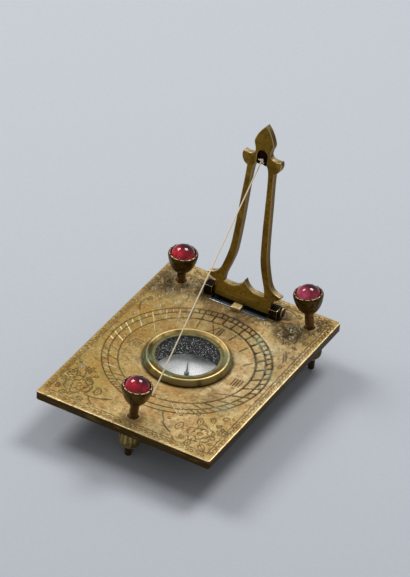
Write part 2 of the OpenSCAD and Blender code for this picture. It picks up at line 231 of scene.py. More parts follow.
def smooth(points, steps=4):
    """A Catmull-Rom line through the points, with its last point."""
    count = len(points) - 1
    line = []
    for i in range(count):
        a, b, c, d = (Vector(points[k]) for k in (max(i - 1, 0), i, i + 1, min(i + 2, count)))
        for k in range(steps):
            t = k / steps
            line.append(0.5 * (2 * b + (c - a) * t + (2 * a - 5 * b + 4 * c - d) * t * t
                               + (3 * b - a - 3 * c + d) * t**3))
    return line + [Vector(points[-1])]


def round_line(cx, cy, radius, start=0.0, sweep=360.0, step=0.6):
    """Points along an arc, from start through sweep degrees, without the last one of a full circle."""
    count = max(6, math.ceil(math.radians(abs(sweep)) * radius / step))
    full = abs(sweep) >= 360
    angles = [math.radians(start + sweep * i / count) for i in range(count if full else count + 1)]
    return [Vector((cx + radius * math.cos(a), cy + radius * math.sin(a))) for a in angles]


def lathe(profile, sides, closed, shape=None):
    """Turns a profile of radius and height round the axis.

    shape(radius, height, angle) may change the radius.
    """
    verts, faces, rings = [], [], []
    for r, z in profile:
        if r < ON_AXIS:
            rings.append([len(verts)] * sides)
            verts.append((0, 0, z))
            continue
        rings.append(list(range(len(verts), len(verts) + sides)))
        for k in range(sides):
            a = 2 * math.pi * k / sides
            shaped = shape(r, z, a) if shape else r
            verts.append((shaped * math.cos(a), shaped * math.sin(a), z))
    for low, high in zip(rings, rings[1:] + ([rings[0]] if closed else [])):
        for k in range(sides):
            n = (k + 1) % sides
            face = list(dict.fromkeys((low[k], low[n], high[n], high[k])))
            if len(face) > 2:
                faces.append(face)
    return verts, faces


def skin(count, sides, closed=False):
    """Faces between this many rings of points, with the end rings filled unless the rings close up."""
    faces = []
    for i in range(count if closed else count - 1):
        a, b = i * sides, (i + 1) % count * sides
        for k in range(sides):
            n = (k + 1) % sides
            faces.append((a + k, a + n, b + n, b + k))
    if not closed:
        faces.append(list(range(sides - 1, -1, -1)))
        faces.append(list(range((count - 1) * sides, count * sides)))
    return faces


def tube(line, radius, sides, closed=False, shape=None):
    """A tube along a line of 3D points. shape(angle, distance) may change the radius."""
    verts, walked, across = [], 0.0, None
    for i, point in enumerate(line):
        way = way_at(line, i, closed)
        if across is None:
            across = way.orthogonal().normalized()
        across = (across - way * across.dot(way)).normalized()
        up = way.cross(across)
        walked += (point - line[max(i - 1, 0)]).length
        for k in range(sides):
            a = 2 * math.pi * k / sides
            r = radius * (shape(a, walked) if shape else 1)
            verts.append(point + across * (r * math.cos(a)) + up * (r * math.sin(a)))
    return verts, skin(len(line), sides, closed)


def bar_of(rows):
    """A bar through rows of points, each row being one cross-section."""
    return [point for row in rows for point in row], skin(len(rows), len(rows[0]))


@contextmanager
def editing(mesh):
    """Opens a mesh for editing, and writes it back at the end."""
    bm = bmesh.new()
    bm.from_mesh(mesh)
    yield bm
    bm.to_mesh(mesh)
    bm.free()


def put_in_scene(name, data):
    """An object that shows this data in the scene."""
    obj = bpy.data.objects.new(name, data)
    bpy.context.scene.collection.objects.link(obj)
    return obj


def store(mesh, label, values):
    """Gives each point of a mesh its value under this label."""
    mesh.attributes.new(label, "FLOAT", "POINT").data.foreach_set("value", values)


def mark(obj, label, rule):
    """Stores a value for each point of a mesh, given by a rule for its place."""
    store(obj.data, label, [rule(v.co) for v in obj.data.vertices])


def new_object(name, verts, faces, place=ON_DIAL, **marks):
    """A mesh object with its place and marks in its mesh, its doubles merged and its faces outwards."""
    mesh = bpy.data.meshes.new(name)
    mesh.from_pydata([place @ Vector(v) for v in verts], [], faces)
    for label, values in marks.items():
        store(mesh, label, values)
    with editing(mesh) as bm:
        bmesh.ops.remove_doubles(bm, verts=bm.verts, dist=DOUBLE)
        bmesh.ops.recalc_face_normals(bm, faces=bm.faces)
    return put_in_scene(name, mesh)


def turned(name, profile, sides, place, closed=False, shape=None):
    """A mesh object turned from a profile, which starts and ends on the axis unless it is closed."""
    return new_object(name, *lathe([tuple(p) for p in profile], sides, closed, shape), place)


def join(obj, other):
    """Adds another object's mesh to this one, in place, and removes the other."""
    with editing(obj.data) as bm:
        bm.from_mesh(other.data)
    bpy.data.meshes.remove(other.data)


def made_mesh(obj):
    """The plain mesh that an object's curve or modifiers make."""
    return bpy.data.meshes.new_from_object(obj.evaluated_get(bpy.context.evaluated_depsgraph_get()))


def bake_modifiers(obj):
    """Turns what the modifiers make into the object's own plain mesh."""
    made = made_mesh(obj)
    obj.modifiers.clear()
    obj.data = made
    return obj


def finish_piece(obj, body, nodes, slot, *materials, sharp=32):
    """Shades a piece, gives it its materials, and sets it on its body in place of its CAD nodes.

    An edge that turns by more than sharp degrees, or lies between two finishes, stays crisp.
    """
    mesh = obj.data
    for _ in range(len(mesh.materials), len(materials)):
        mesh.materials.append(None)
    for i, material in enumerate(materials):
        mesh.materials[i] = material
    with editing(mesh) as bm:
        for f in bm.faces:
            f.smooth = True
        for e in bm.edges:
            finishes = {f.material_index for f in e.link_faces}
            e.smooth = e.calc_face_angle(0) < math.radians(sharp) and len(finishes) == 1
    if body:
        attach(obj, body)
    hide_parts(*nodes)
    return obj


def softened(node, name, edge):
    """A copy of a CAD node's solid with rounded edges, whose strips take the second material."""
    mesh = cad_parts[node].data.copy()
    with editing(mesh) as bm:
        bmesh.ops.remove_doubles(bm, verts=bm.verts, dist=WELD)
        bmesh.ops.dissolve_limit(bm, angle_limit=math.radians(1), verts=bm.verts, edges=bm.edges)
    mesh.name = name
    mesh.materials.clear()
    for _ in range(2):
        mesh.materials.append(None)
    obj = put_in_scene(name, mesh)
    bevel = obj.modifiers.new("Edges", "BEVEL")
    bevel.width, bevel.segments, bevel.limit_method = edge * MM, 2, "ANGLE"
    bevel.angle_limit, bevel.material, bevel.use_clamp_overlap = math.radians(35), 1, True
    return bake_modifiers(obj)


# Materials

def feed(tree, socket, value):
    """Links a socket to the output that feeds it, or sets it to a plain value."""
    if isinstance(value, bpy.types.NodeSocket):
        tree.links.new(value, socket)
    else:
        socket.default_value = value


def add(tree, kind, inputs=None, out=None, **settings):
    """Adds a node with its settings and links, and gives the named output or else its first in use."""
    node = tree.nodes.new(kind)
    for key, value in settings.items():
        setattr(node, key, value)
    for key, value in (inputs or {}).items():
        feed(tree, node.inputs[key], value)
    return node.outputs[out] if out else next((s for s in node.outputs if s.enabled), None)


def start_material(name):
    """An empty material, its tree and its Object coordinates."""
    material = bpy.data.materials.new(name)
    material.use_nodes = True
    tree = material.node_tree
    return material, tree, add(tree, "ShaderNodeTexCoord", out="Object")


def surface(tree, height=None, depth=0.0, **inputs):
    """Sets the surface shader, with a relief whose height stands for depth millimetres."""
    shader = tree.nodes["Principled BSDF"]
    if height:
        inputs["Normal"] = add(tree, "ShaderNodeBump", {"Height": height, "Distance": depth * MM,
                                                        "Strength": 1.0})
    for name, value in inputs.items():
        feed(tree, shader.inputs[name.replace("_", " ")], value)


def patches(tree, place, size, low, high, detail=4.0, distortion=0.0):
    """Patches of this size in millimetres: 0 where the noise is below low, 1 where it is above high."""
    texture = add(tree, "ShaderNodeTexNoise", {"Vector": place, "Scale": 1 / (size * MM), "Detail": detail,
                                               "Roughness": 0.6, "Distortion": distortion})
    return add(tree, "ShaderNodeMapRange", {"Value": texture, "From Min": low, "From Max": high},
               interpolation_type="SMOOTHSTEP")


def near(tree, place, *spots):
    """Spots on the dial, each with its centre, its full and whole reach in millimetres, and its strength."""
    level = None
    for centre, full, none, strength in spots:
        gap = add(tree, "ShaderNodeVectorMath", {0: place, 1: ON_DIAL @ Vector(centre)}, out="Value",
                  operation="DISTANCE")
        spot = add(tree, "ShaderNodeMapRange", {"Value": gap, "From Min": none * MM, "From Max": full * MM,
                                                "To Max": strength}, interpolation_type="SMOOTHSTEP")
        level = add(tree, "ShaderNodeMath", {0: level, 1: spot}, operation="MAXIMUM") if level else spot
    return level


def facing_up(tree, low, high):
    """0 on faces whose normal rises less than low, 1 on those where it rises more than high."""
    normal = add(tree, "ShaderNodeTexCoord", out="Normal")
    rise = add(tree, "ShaderNodeSeparateXYZ", {0: normal}, out="Z")
    return add(tree, "ShaderNodeMapRange", {"Value": rise, "From Min": low, "From Max": high})


def layers(tree, base, *coats):
    """Lays coats over a base colour or number. A coat is its value and the masks that say where it lies."""
    kind, under, over = ("FLOAT", 2, 3) if isinstance(base, float) else ("RGBA", 6, 7)
    for value, share, *masks in coats:
        for mask in masks:
            share = add(tree, "ShaderNodeMath", {0: share, 1: mask}, operation="MULTIPLY")
        base, value = (linear(v) if isinstance(v, str) else v for v in (base, value))
        base = add(tree, "ShaderNodeMix", {0: share, under: base, over: value}, data_type=kind)
    return base


def aged_brass(name, bright, dull, soil, roughness, patch=5.0, dulled=0.5):
    """Cast and filed brass, aged: dull patches, soil in the hollows, and bare metal where it is rubbed."""
    material, tree, place = start_material(name)
    hollow, rubbed = (add(tree, "ShaderNodeAttribute", out="Fac", attribute_name=label)
                      for label in ("soil", "rubbed"))
    tarnish = patches(tree, place, patch, 0.62 - dulled * 0.35, 0.7 - dulled * 0.1, 6, 0.6)
    spots = patches(tree, place, patch * 0.24, 0.6, 0.75, 3)
    grain = patches(tree, place, 0.3, 0.3, 0.7, 2)
    bare = patches(tree, place, 1.4, 0.3, 0.5, 3)
    surface(tree, grain, 0.02,
            Base_Color=layers(tree, bright, (dull, tarnish), (soil, spots, 0.7), (soil, hollow, 0.92),
                              ("#EBCBA6", rubbed, bare)),
            Metallic=layers(tree, 1.0, (0.55, hollow), (0.6, spots, 0.7)),
            Roughness=layers(tree, roughness, (roughness + 0.2, tarnish), (0.7, hollow)))
    return material


def plate_brass(plate):
    """Engraved sheet brass, rubbed bright by handling and brown with patina round the hinge.

    The cuts hold soil, darkened on the right by painted shade, and carry painted glints on the left;
    verdigris blooms on the rings. Painted shade darkens the plate's sides and rings the bezel's foot, and the
    rubbed top edge is painted pale, as worn metal and as its highlight.
    """
    material, tree, place = start_material("engraved_rubbed_brass")
    soil, glint, rubbed = (add(tree, "ShaderNodeAttribute", out="Fac", attribute_name=label)
                           for label in ("soil", "glint", "rubbed"))
    # Painted shade: the plate's side faces are coloured dark brown
    side = facing_up(tree, 0.5, 0.1)
    lengthwise = add(tree, "ShaderNodeMapping", {"Vector": place, "Scale": (1, 1, 8)})
    streaks = patches(tree, lengthwise, 9.0, 0.58, 0.68, 4)
    clouds = patches(tree, place, 16.0, 0.36, 0.64, 8, 0.8)
    warm = patches(tree, place, 6.0, 0.48, 0.6, 5, 0.6)
    mottle = patches(tree, place, 3.0, 0.42, 0.68, 8, 0.5)
    blotches = patches(tree, place, 1.5, 0.5, 0.64, 6, 0.3)
    freckles = patches(tree, place, 0.8, 0.56, 0.64, 2)
    nicks = patches(tree, place, 1.0, 0.6, 0.66, 3)
    peened = patches(tree, place, 0.5, 0.3, 0.7, 3)
    broken = patches(tree, place, 2.8, 0.3, 0.56, 8, 1.0)
    gaps = patches(tree, place, 2.2, 0.36, 0.46, 4)
    stain = near(tree, place, *STAINS)
    # Painted shadow: a dark ring of patina colour on the plate round the bezel's foot
    foot = near(tree, place, ((0, COMPASS_Y, 0), BEZEL_R + 0.2, BEZEL_R + 1.5, 0.8))
    handled = near(tree, place, ((27, 4, 0), 12, 32, 0.6), ((6, -34, 0), 6, 20, 0.3))
    olive = near(tree, place, ((-36, 4, 0), 10, 32, 0.7), ((-30, -32, 0), 8, 28, 0.6))
    # Painted shade: the soil in the cuts is darkest on the right and back, and paler on the left
    dark_side = near(tree, place, ((24, 22, 0), 26, 50, 1.0), ((0, 0, 0), 60, 70, 0.7))
    lit = near(tree, place, ((-28, 9, 0), 16, 21, 1.0), ((11, -30, 0), 3, 6, 0.6),
               ((-22, -22, 0), 1.5, 4, 0.9), ((23, 33, 0), 4, 9, 1.0), ((-26, 33, 0), 7, 15, 0.85),
               ((26, -38, 0), 1, 2.5, 0.7), ((-27, -38, 0), 1, 2.6, 0.9), ((-31, -27, 0), 1, 2.5, 0.9),
               ((12, 34, 0), 2, 4, 1.0))
    bloom_at = near(tree, place, ((18, 23, 0), 2, 6, 0.9), ((23, 19, 0), 2, 6, 0.9),
                    ((29, 9, 0), 3, 12, 0.8), ((26, -20, 0), 1.5, 6, 1.0), ((14.5, 9, 0), 1, 4, 1.0),
                    ((-14, -13, 0), 1, 5, 0.7))
    bloom = patches(tree, place, 1.8, 0.42, 0.58, 3)
    in_cuts = layers(tree, 0.5, (1.0, soil))
    relief = layers(tree, 0.0, (1.0, peened, 0.4), (1.0, blotches, 0.3))
    surface(tree, relief, 0.06,
            Base_Color=layers(
                tree, plate.brass, ("#F6DFB2", handled), (plate.dull, clouds, 0.75), ("#AC8E40", olive),
                ("#BE8644", warm, 0.42), (plate.dull, mottle, 0.5), ("#7C6038", blotches, 0.5),
                ("#F6E4B4", nicks, 0.5), (plate.patina, freckles, 0.3), (plate.patina, stain, broken),
                (plate.patina, foot), ("#3E2C12", side, 0.97), ("#8A6A2E", streaks, side, 0.6),
                (plate.soil, soil, dark_side), (plate.verdigris, bloom, bloom_at, in_cuts, 0.75),
                ("#F4E6BA", glint, lit), ("#F6DCA4", rubbed, gaps)),
            Metallic=layers(tree, 1.0, (0.5, stain, broken), (0.45, soil), (0.15, bloom, bloom_at, in_cuts),
                            (1.0, glint, lit), (1.0, rubbed, gaps)),
            Roughness=layers(tree, 0.43, (0.55, clouds), (0.68, stain, broken), (0.75, soil), (0.5, side),
                             (0.4, glint, lit), (0.32, rubbed, gaps)))
    return material


def rubbed_and_highlighted_brass(name, code, under=None, *spots):
    """Brass on an edge, painted pale as rubbed bare metal and as the edge's highlight, all over or only at
    its spots, with painted shade where it faces down.
    """
    material, tree, place = start_material(name)
    dulling = patches(tree, place, 2.0, 0.45, 0.75, 4)
    # Painted shade on the parts of the edge that face down
    bare = layers(tree, code, ("#6E5222", dulling, 0.6), ("#5E461C", facing_up(tree, -0.1, -0.6)))
    surface(tree, Base_Color=layers(tree, under, (bare, near(tree, place, *spots))) if spots else bare,
            Metallic=0.8, Roughness=0.32)
    return material


def sawn_brass(name, code, top):
    """The frame's sawn and filed walls: painted shade where they stand up, and painted light where they face
    up.
    """
    material, tree, place = start_material(name)
    strokes = patches(tree, place, 1.2, 0.35, 0.7, 5, 0.4)
    pits = patches(tree, place, 0.9, 0.56, 0.66, 3)
    # Painted light on the faces that look up; the walls' own darker colour is painted shade
    upper = facing_up(tree, 0.45, 0.85)
    surface(tree, strokes, 0.03, Metallic=layers(tree, 1.0, (0.6, upper)), Roughness=0.42,
            Base_Color=layers(tree, code, (top, upper, 0.85), ("#3A2C14", strokes, 0.35),
                              ("#2E2010", pits, upper, 0.7)))
    return material


def frame_brass(settings):
    """Olive patina on the frame's flat faces, with rust on the right leg and scratches on the bar."""
    material, tree, place = start_material("olive_patinated_brass")
    clouds = patches(tree, place, 8.0, 0.35, 0.65, 6, 0.6)
    mottle = patches(tree, place, 1.6, 0.45, 0.7, 6, 0.4)
    freckles = patches(tree, place, 0.8, 0.56, 0.66, 3)
    grain = patches(tree, place, 0.35, 0.3, 0.7, 2)
    leg = near(tree, place, ((7, 44, 40), 10, 26, 1.0))
    bar = near(tree, place, ((0, 40, 4), 9, 16, 1.0))
    slanted = add(tree, "ShaderNodeMapping", {"Vector": place, "Rotation": (0, 0.7, 0), "Scale": (1, 1, 9)})
    scratches = patches(tree, slanted, 6.0, 0.56, 0.62, 3)
    surface(tree, grain, 0.03,
            Base_Color=layers(tree, settings.brass, ("#6A4E18", clouds, 0.6), ("#C2A040", bar, 0.8),
                              ("#4A3512", mottle, 0.45), ("#E0BE70", scratches, bar, 0.5),
                              ("#7A3C16", freckles, leg, 0.8), ("#2E2210", freckles, 0.35)),
            Metallic=layers(tree, 1.0, (0.6, freckles)), Roughness=layers(tree, 0.4, (0.55, clouds)))
    return material


def bezel_brass(settings):
    """Turned brass with a painted highlight on its crest, olive inside and green where damp has stood, and
    painted shade on its left and at its foot.
    """
    material, tree, place = start_material("turned_polished_brass")
    axis = (0, COMPASS_Y, 2.0)
    # Painted highlight: a pale band along the crest
    crest_highlight = near(tree, place, (axis, CREST_R + 0.15, CREST_R + 0.4, 1.0))
    slope = near(tree, place, (axis, CREST_R - 0.45, CREST_R - 0.1, 1.0))
    inner = near(tree, place, (axis, APERTURE_R + 0.2, APERTURE_R + 0.75, 1.0))
    tarnish = patches(tree, place, 5.0, 0.4, 0.68, 6, 0.5)
    damp = near(tree, place, ((-12.5, COMPASS_Y - 9.5, 1), 2, 6, 1.0),
                ((0, COMPASS_Y - 14.2, 2), 1.2, 2.8, 1.0), ((14.4, COMPASS_Y + 6, 1), 2, 7, 0.8))
    shaded = near(tree, place, ((-16, COMPASS_Y - 7, 0.5), 4, 11, 1.0))
    bloom = patches(tree, place, 2.0, 0.38, 0.58, 4)
    # Painted shadow: a dark band round the bezel's foot
    height = add(tree, "ShaderNodeSeparateXYZ", {0: place}, out="Z")
    foot = add(tree, "ShaderNodeMapRange", {"Value": height, "From Min": (STAND_H + 0.9) * MM,
                                            "From Max": (STAND_H + 0.1) * MM})
    surface(tree, patches(tree, place, 0.9, 0.3, 0.7, 3), 0.02,
            Base_Color=layers(tree, "#A08A50", ("#5E4C26", tarnish, 0.8), ("#E8CF8C", crest_highlight),
                              (settings.brass, slope), ("#5E4C28", tarnish, slope, 0.85),
                              ("#6A6038", inner, 0.85), ("#1E160A", foot, 0.9), ("#2E2612", shaded, 0.7),
                              ("#6E8468", bloom, damp)),
            Metallic=layers(tree, 0.75, (1.0, slope), (0.3, bloom, damp), (0.8, inner)),
            Roughness=layers(tree, 0.46, (0.6, tarnish), (0.7, bloom, damp)))
    return material


def dusty_glass(settings):
    """Thin window glass under years of dust: clear, with pale specks that show on the dark wall below."""
    material, tree, place = start_material("dusty_window_glass")
    specks = patches(tree, place, settings.dust_gap / MM, 0.7, 0.74, 0)
    drift = patches(tree, place, 3.0, 0.2, 0.55, 3)
    top = facing_up(tree, 0.5, 0.9)
    surface(tree, Base_Color=linear("#E2E4E3"), IOR=1.5, Roughness=layers(tree, 0.05, (0.8, specks)),
            Alpha=layers(tree, 0.012, (0.62, specks, drift, top)))
    return material


def blackened_brass(settings):
    """The inside of the compass bowl: brass coloured near black, with paler patches."""
    material, tree, place = start_material("blackened_brass")
    worn = patches(tree, place, 3.0, 0.45, 0.7, 5)
    surface(tree, worn, 0.03, Roughness=0.6,
            Base_Color=layers(tree, settings.blackened, ("#2C2A26", worn, 0.5)))
    return material


def compass_paper(settings):
    """Rag paper of the card, hardly spotted under the glass, with the wall's shadow painted on its far side.
    """
    material, tree, place = start_material("rag_paper")
    foxing = patches(tree, place, 2.6, 0.6, 0.75, 4)
    # Painted shadow of the well's wall over the card's far side
    wall_shadow = near(tree, place, ((0, COMPASS_Y + 20, -WELL_DEPTH), 8, 12.5, 0.8))
    surface(tree, patches(tree, place, 0.5, 0.3, 0.7, 3), 0.01, Roughness=0.85,
            Base_Color=layers(tree, settings.card, ("#B9AE93", foxing, 0.15), ("#3A3C40", wall_shadow)))
    return material


def dark_steel(name, code, pale, rough=0.35):
    """Steel, rolled and left to darken, with the blue grey film of old oil."""
    material, tree, place = start_material(name)
    film = patches(tree, place, 1.8, 0.4, 0.7, 5, 0.4)
    surface(tree, patches(tree, place, 0.4, 0.3, 0.7, 2), 0.02, Metallic=0.9,
            Base_Color=layers(tree, code, (pale, film)), Roughness=layers(tree, rough, (rough + 0.2, film)))
    return material


def ruby_glass(name, body, glow, screw):
    """A cabochon of red glass: painted shade at its top and back, and painted light gathered low, away from
    the lamps.
    """
    material, tree, place = start_material(name)
    x, y, lean, bare = SCREWS[screw]
    top = bare + GIRDLE_H + DOME_H
    x += top * math.tan(math.radians(lean))
    # Painted light: the glow gathered low in the stone
    gathered = near(tree, place, ((x - 1.2, y - 4.4, top - 3.4), 1.8, 5.6, 0.95),
                    ((x + 4, y - 2, top - 3.6), 0.5, 3, 0.6))
    # Painted shade: darker at the stone's top and back
    deep = near(tree, place, ((x + 0.6, y + 2.6, top), 2.3, 4.8, 0.9))
    flaws = patches(tree, place, 2.0, 0.42, 0.6, 3, 0.8)
    surface(tree, Roughness=0.04, IOR=1.5, Coat_Weight=0.25, Coat_Roughness=0.02,
            Base_Color=layers(tree, body, (glow, gathered), ("#1E0207", deep), ("#3C030D", flaws, 0.45)))
    return material


def cotton(settings):
    """Spun cotton, soft and yellowed in patches by handling."""
    material, tree, place = start_material("spun_cotton")
    handled = patches(tree, place, 5.0, 0.4, 0.75, 3)
    surface(tree, patches(tree, place, 0.22, 0.3, 0.7, 2), 0.02, Roughness=0.8, Sheen_Weight=0.1,
            Base_Color=layers(tree, settings.thread, ("#F2CC9C", handled, 0.3)))
    return material


# Engraving

def within(point, hole, margin=0.0, share=1.0):
    """Whether a point lies in a round hole, less its last rim, or in a box, each let out by the margin."""
    x, y, rx, ry = hole
    if rx == ry:
        return (point - Vector((x, y))).length < rx * share + margin
    return abs(point.x - x) < rx + margin and abs(point.y - y) < ry + margin


class Engraving:
    """Strokes of a V-shaped graver on the flat plate, as lines to triangulate and cuts to measure.

    tone is how much soil the next strokes hold and how strong a painted glint they may carry; press is how
    hard the graver was pressed at a point.
    """

    def __init__(self, holes):
        self.points, self.edges, self.cuts, self.holes = [], [], [], holes
        self.tone, self.press = (1.0, 0.0), lambda p: 1.0

    def add_line(self, points, closed):
        """Adds points and the edges between them, and gives the points' numbers."""
        first = len(self.points)
        self.points += points
        self.edges += [(first + i, first + i + 1) for i in range(len(points) - 1)]
        if closed:
            self.edges.append((first + len(points) - 1, first))
        return list(range(first, first + len(points)))

    def clear(self, point):
        """Whether a point keeps off the plate's edge and its holes."""
        if abs(point.x) > PLATE_W / 2 - EDGE_CLEAR or abs(point.y) > PLATE_D / 2 - EDGE_CLEAR:
            return False
        return not any(within(point, hole, HOLE_CLEAR) for hole in self.holes)

    def stroke(self, line, width, closed=False, taper=0.7):
        """Cuts a line of points, and lifts the graver over holes."""
        line = [Vector(p) for p in line]
        if closed and all(self.clear(p) for p in line):
            self.cut(line, width, True, 0)
            return
        run = []
        for p in line + ([line[0]] if closed else []) + [None]:
            if p is not None and self.clear(p):
                run.append(p)
                continue
            if len(run) > 1:
                self.cut(run, width, False, taper)
            run = []

    def cut(self, line, width, closed, taper):
        """One cut with a deep middle and two shoulders, drawn to a point at its ends."""
        half = width / 2
        if not closed:
            walked = [0.0]
            for a, b in zip(line, line[1:]):
                walked.append(walked[-1] + (b - a).length)
            taper = min(taper, walked[-1] * 0.4)
            stops = sorted({0.0, taper, walked[-1] - taper, walked[-1]}
                           | {w for w in walked if taper < w < walked[-1] - taper})
            line = [self.at(line, walked, s) for s in stops]
            halves = [half * self.press(p) * min(1, s / taper, (stops[-1] - s) / taper)
                      for p, s in zip(line, stops)]
        else:
            halves = [half * self.press(p) for p in line]
        count = len(line)
        ways = [way_at(line, i, closed) for i in range(count)]
        outs = [Vector((-way.y, way.x)) * reach for way, reach in zip(ways, halves)]
        self.add_line(line, closed)
        for side in (1, -1):
            shoulder = [p + out * side for p, out in zip(line, outs)]
            self.add_line(shoulder if closed else [line[0]] + shoulder[1:-1] + [line[-1]], closed)
        for i in range(count if closed else count - 1):
            following = (i + 1) % count
            steps = max(1, math.ceil((line[following] - line[i]).length / CUT_STEP))
            for k in range(steps + 1):
                reach = halves[i] + (halves[following] - halves[i]) * (k / steps)
                self.cuts.append((line[i].lerp(line[following], k / steps), reach, *self.tone))

    @staticmethod
    def at(line, walked, distance):
        """The point this far along a line, given how far along it each of its points lies."""
        for i in range(len(line) - 1):
            if distance <= walked[i + 1]:
                span = walked[i + 1] - walked[i]
                return line[i].lerp(line[i + 1], (distance - walked[i]) / span if span else 0)
        return line[-1].copy()


def hour_way(plate, hour):
    """Direction of the hour line this many hours from noon, in the plate's plane."""
    swing = math.radians(15 * hour)
    return Vector((math.sin(plate.latitude) * math.sin(swing), math.cos(swing))).normalized()


def ring_point(plate, hour, radius):
    """Where an hour line crosses the ring of this radius."""
    start, way = Vector((0, plate.hour_y / MM)), hour_way(plate, hour)
    to_centre = start - Vector((0, plate.ring_y / MM))
    b, c = to_centre.dot(way), to_centre.length_squared - radius * radius
    return start + way * (-b + math.sqrt(b * b - c))


def engrave_hours(cuts, plate):
    """Three rings with their quarter, half and whole hours, from four in the morning to eight at night."""
    ruled, (outer, middle, inner) = plate.line_w / MM, HOUR_RINGS
    deepest, extra, fade = Vector((23, 20)), 0.8, 60
    cuts.press = lambda p: 1 + max(0, extra - (p - deepest).length / fade)
    for radius in HOUR_RINGS:
        cuts.stroke(round_line(0, plate.ring_y / MM, radius, 90, 360, 1.2), ruled, closed=True)
    # The ticks may carry a full painted glint
    cuts.tone = (1.0, 1.0)
    for quarter in range(-32, 33):
        hour = quarter / 4
        start = inner if quarter % 2 == 0 else middle
        width = ruled if quarter % 4 == 0 else ruled * 0.85
        cuts.stroke([ring_point(plate, hour, start + 0.3), ring_point(plate, hour, outer - 0.1)], width,
                    taper=0.3)
        if quarter % 4 == 0 and abs(hour) in (1, 2, 3, 5):
            top = ring_point(plate, hour, inner - 0.3)
            foot = Vector((0, COMPASS_Y)) + (top - Vector((0, COMPASS_Y))).normalized() * (BEZEL_R + 2.2)
            cuts.stroke([top, top - hour_way(plate, hour) * (top - foot).length], ruled * 0.6, taper=1.5)


def engrave_numeral(cuts, plate, text, x, y, height=4.6):
    """A Roman numeral with its middle at x, y, drawn upright for a reader at the front."""
    widths = {"X": 2.7, "V": 2.5, "I": 0.0}
    ruled, gap, total = plate.line_w / MM, 1.05, 0.0
    spans = []
    for letter in text:
        spans.append(total)
        total += widths[letter] + gap
    total -= gap
    low, high = y - height / 2, y + height / 2
    for letter, start in zip(text, spans):
        left = x - total / 2 + start
        right = left + widths[letter]
        middle = (left + right) / 2
        lines = {"X": [((left, low), (right, high)), ((left, high), (right, low))],
                 "V": [((left, high), (middle, low)), ((middle, low), (right, high))],
                 "I": [((left, low), (left, high))]}[letter]
        for line in lines:
            cuts.stroke(line, ruled * 0.9, taper=0.35)
        for foot in (left, right) if letter != "I" else (left,):
            for level in (low, high) if letter != "V" else (high,):
                cuts.stroke([(foot - 0.5, level), (foot + 0.5, level)], ruled * 0.6, taper=0.3)


def engrave_blossom(cuts, width, x, y, size, turn=0.0):
    """A peony: a dotted heart, five petals and five more behind them."""
    cuts.stroke(round_line(x, y, size * 0.2), width * 0.8, closed=True)
    for i in range(5):
        front = math.radians(turn + 72 * i)
        behind = front + math.radians(36)
        vein = heading(front)
        petal = Vector((x, y)) + vein * size * 0.42
        cuts.stroke(round_line(petal.x, petal.y, size * 0.27, math.degrees(front) - 115, 230, 0.35), width)
        back = Vector((x, y)) + heading(behind) * size * 0.74
        cuts.stroke(round_line(back.x, back.y, size * 0.36, math.degrees(behind) - 100, 200, 0.4), width)
        cuts.stroke([petal + vein * size * 0.02, petal + vein * size * 0.2], width * 0.7, taper=0.3)


def engrave_leaf(cuts, width, x, y, size, turn):
    """A pointed leaf with a midrib."""
    middle, way = Vector((x, y)), heading(math.radians(turn))
    out = Vector((-way.y, way.x))
    for side in (1, -1):
        line = [middle + way * size * (t - 0.5) + out * side * size * 0.27 * math.sin(math.pi * t) ** 0.8
                for t in (k / 8 for k in range(9))]
        cuts.stroke(line, width, taper=0.4)
    cuts.stroke([middle - way * size * 0.3, middle + way * size * 0.25], width * 0.7, taper=0.4)


def engrave_curl(cuts, width, x, y, size, start, turns=1.2, hand=1):
    """A tendril that winds in to its end."""
    count = round(14 * turns)
    line = []
    for i in range(count + 1):
        a = math.radians(start) + hand * 2 * math.pi * turns * i / count
        r = size * (1 - 0.75 * i / count)
        line.append((x + r * math.cos(a), y + r * math.sin(a)))
    cuts.stroke(line, width, taper=0.4)


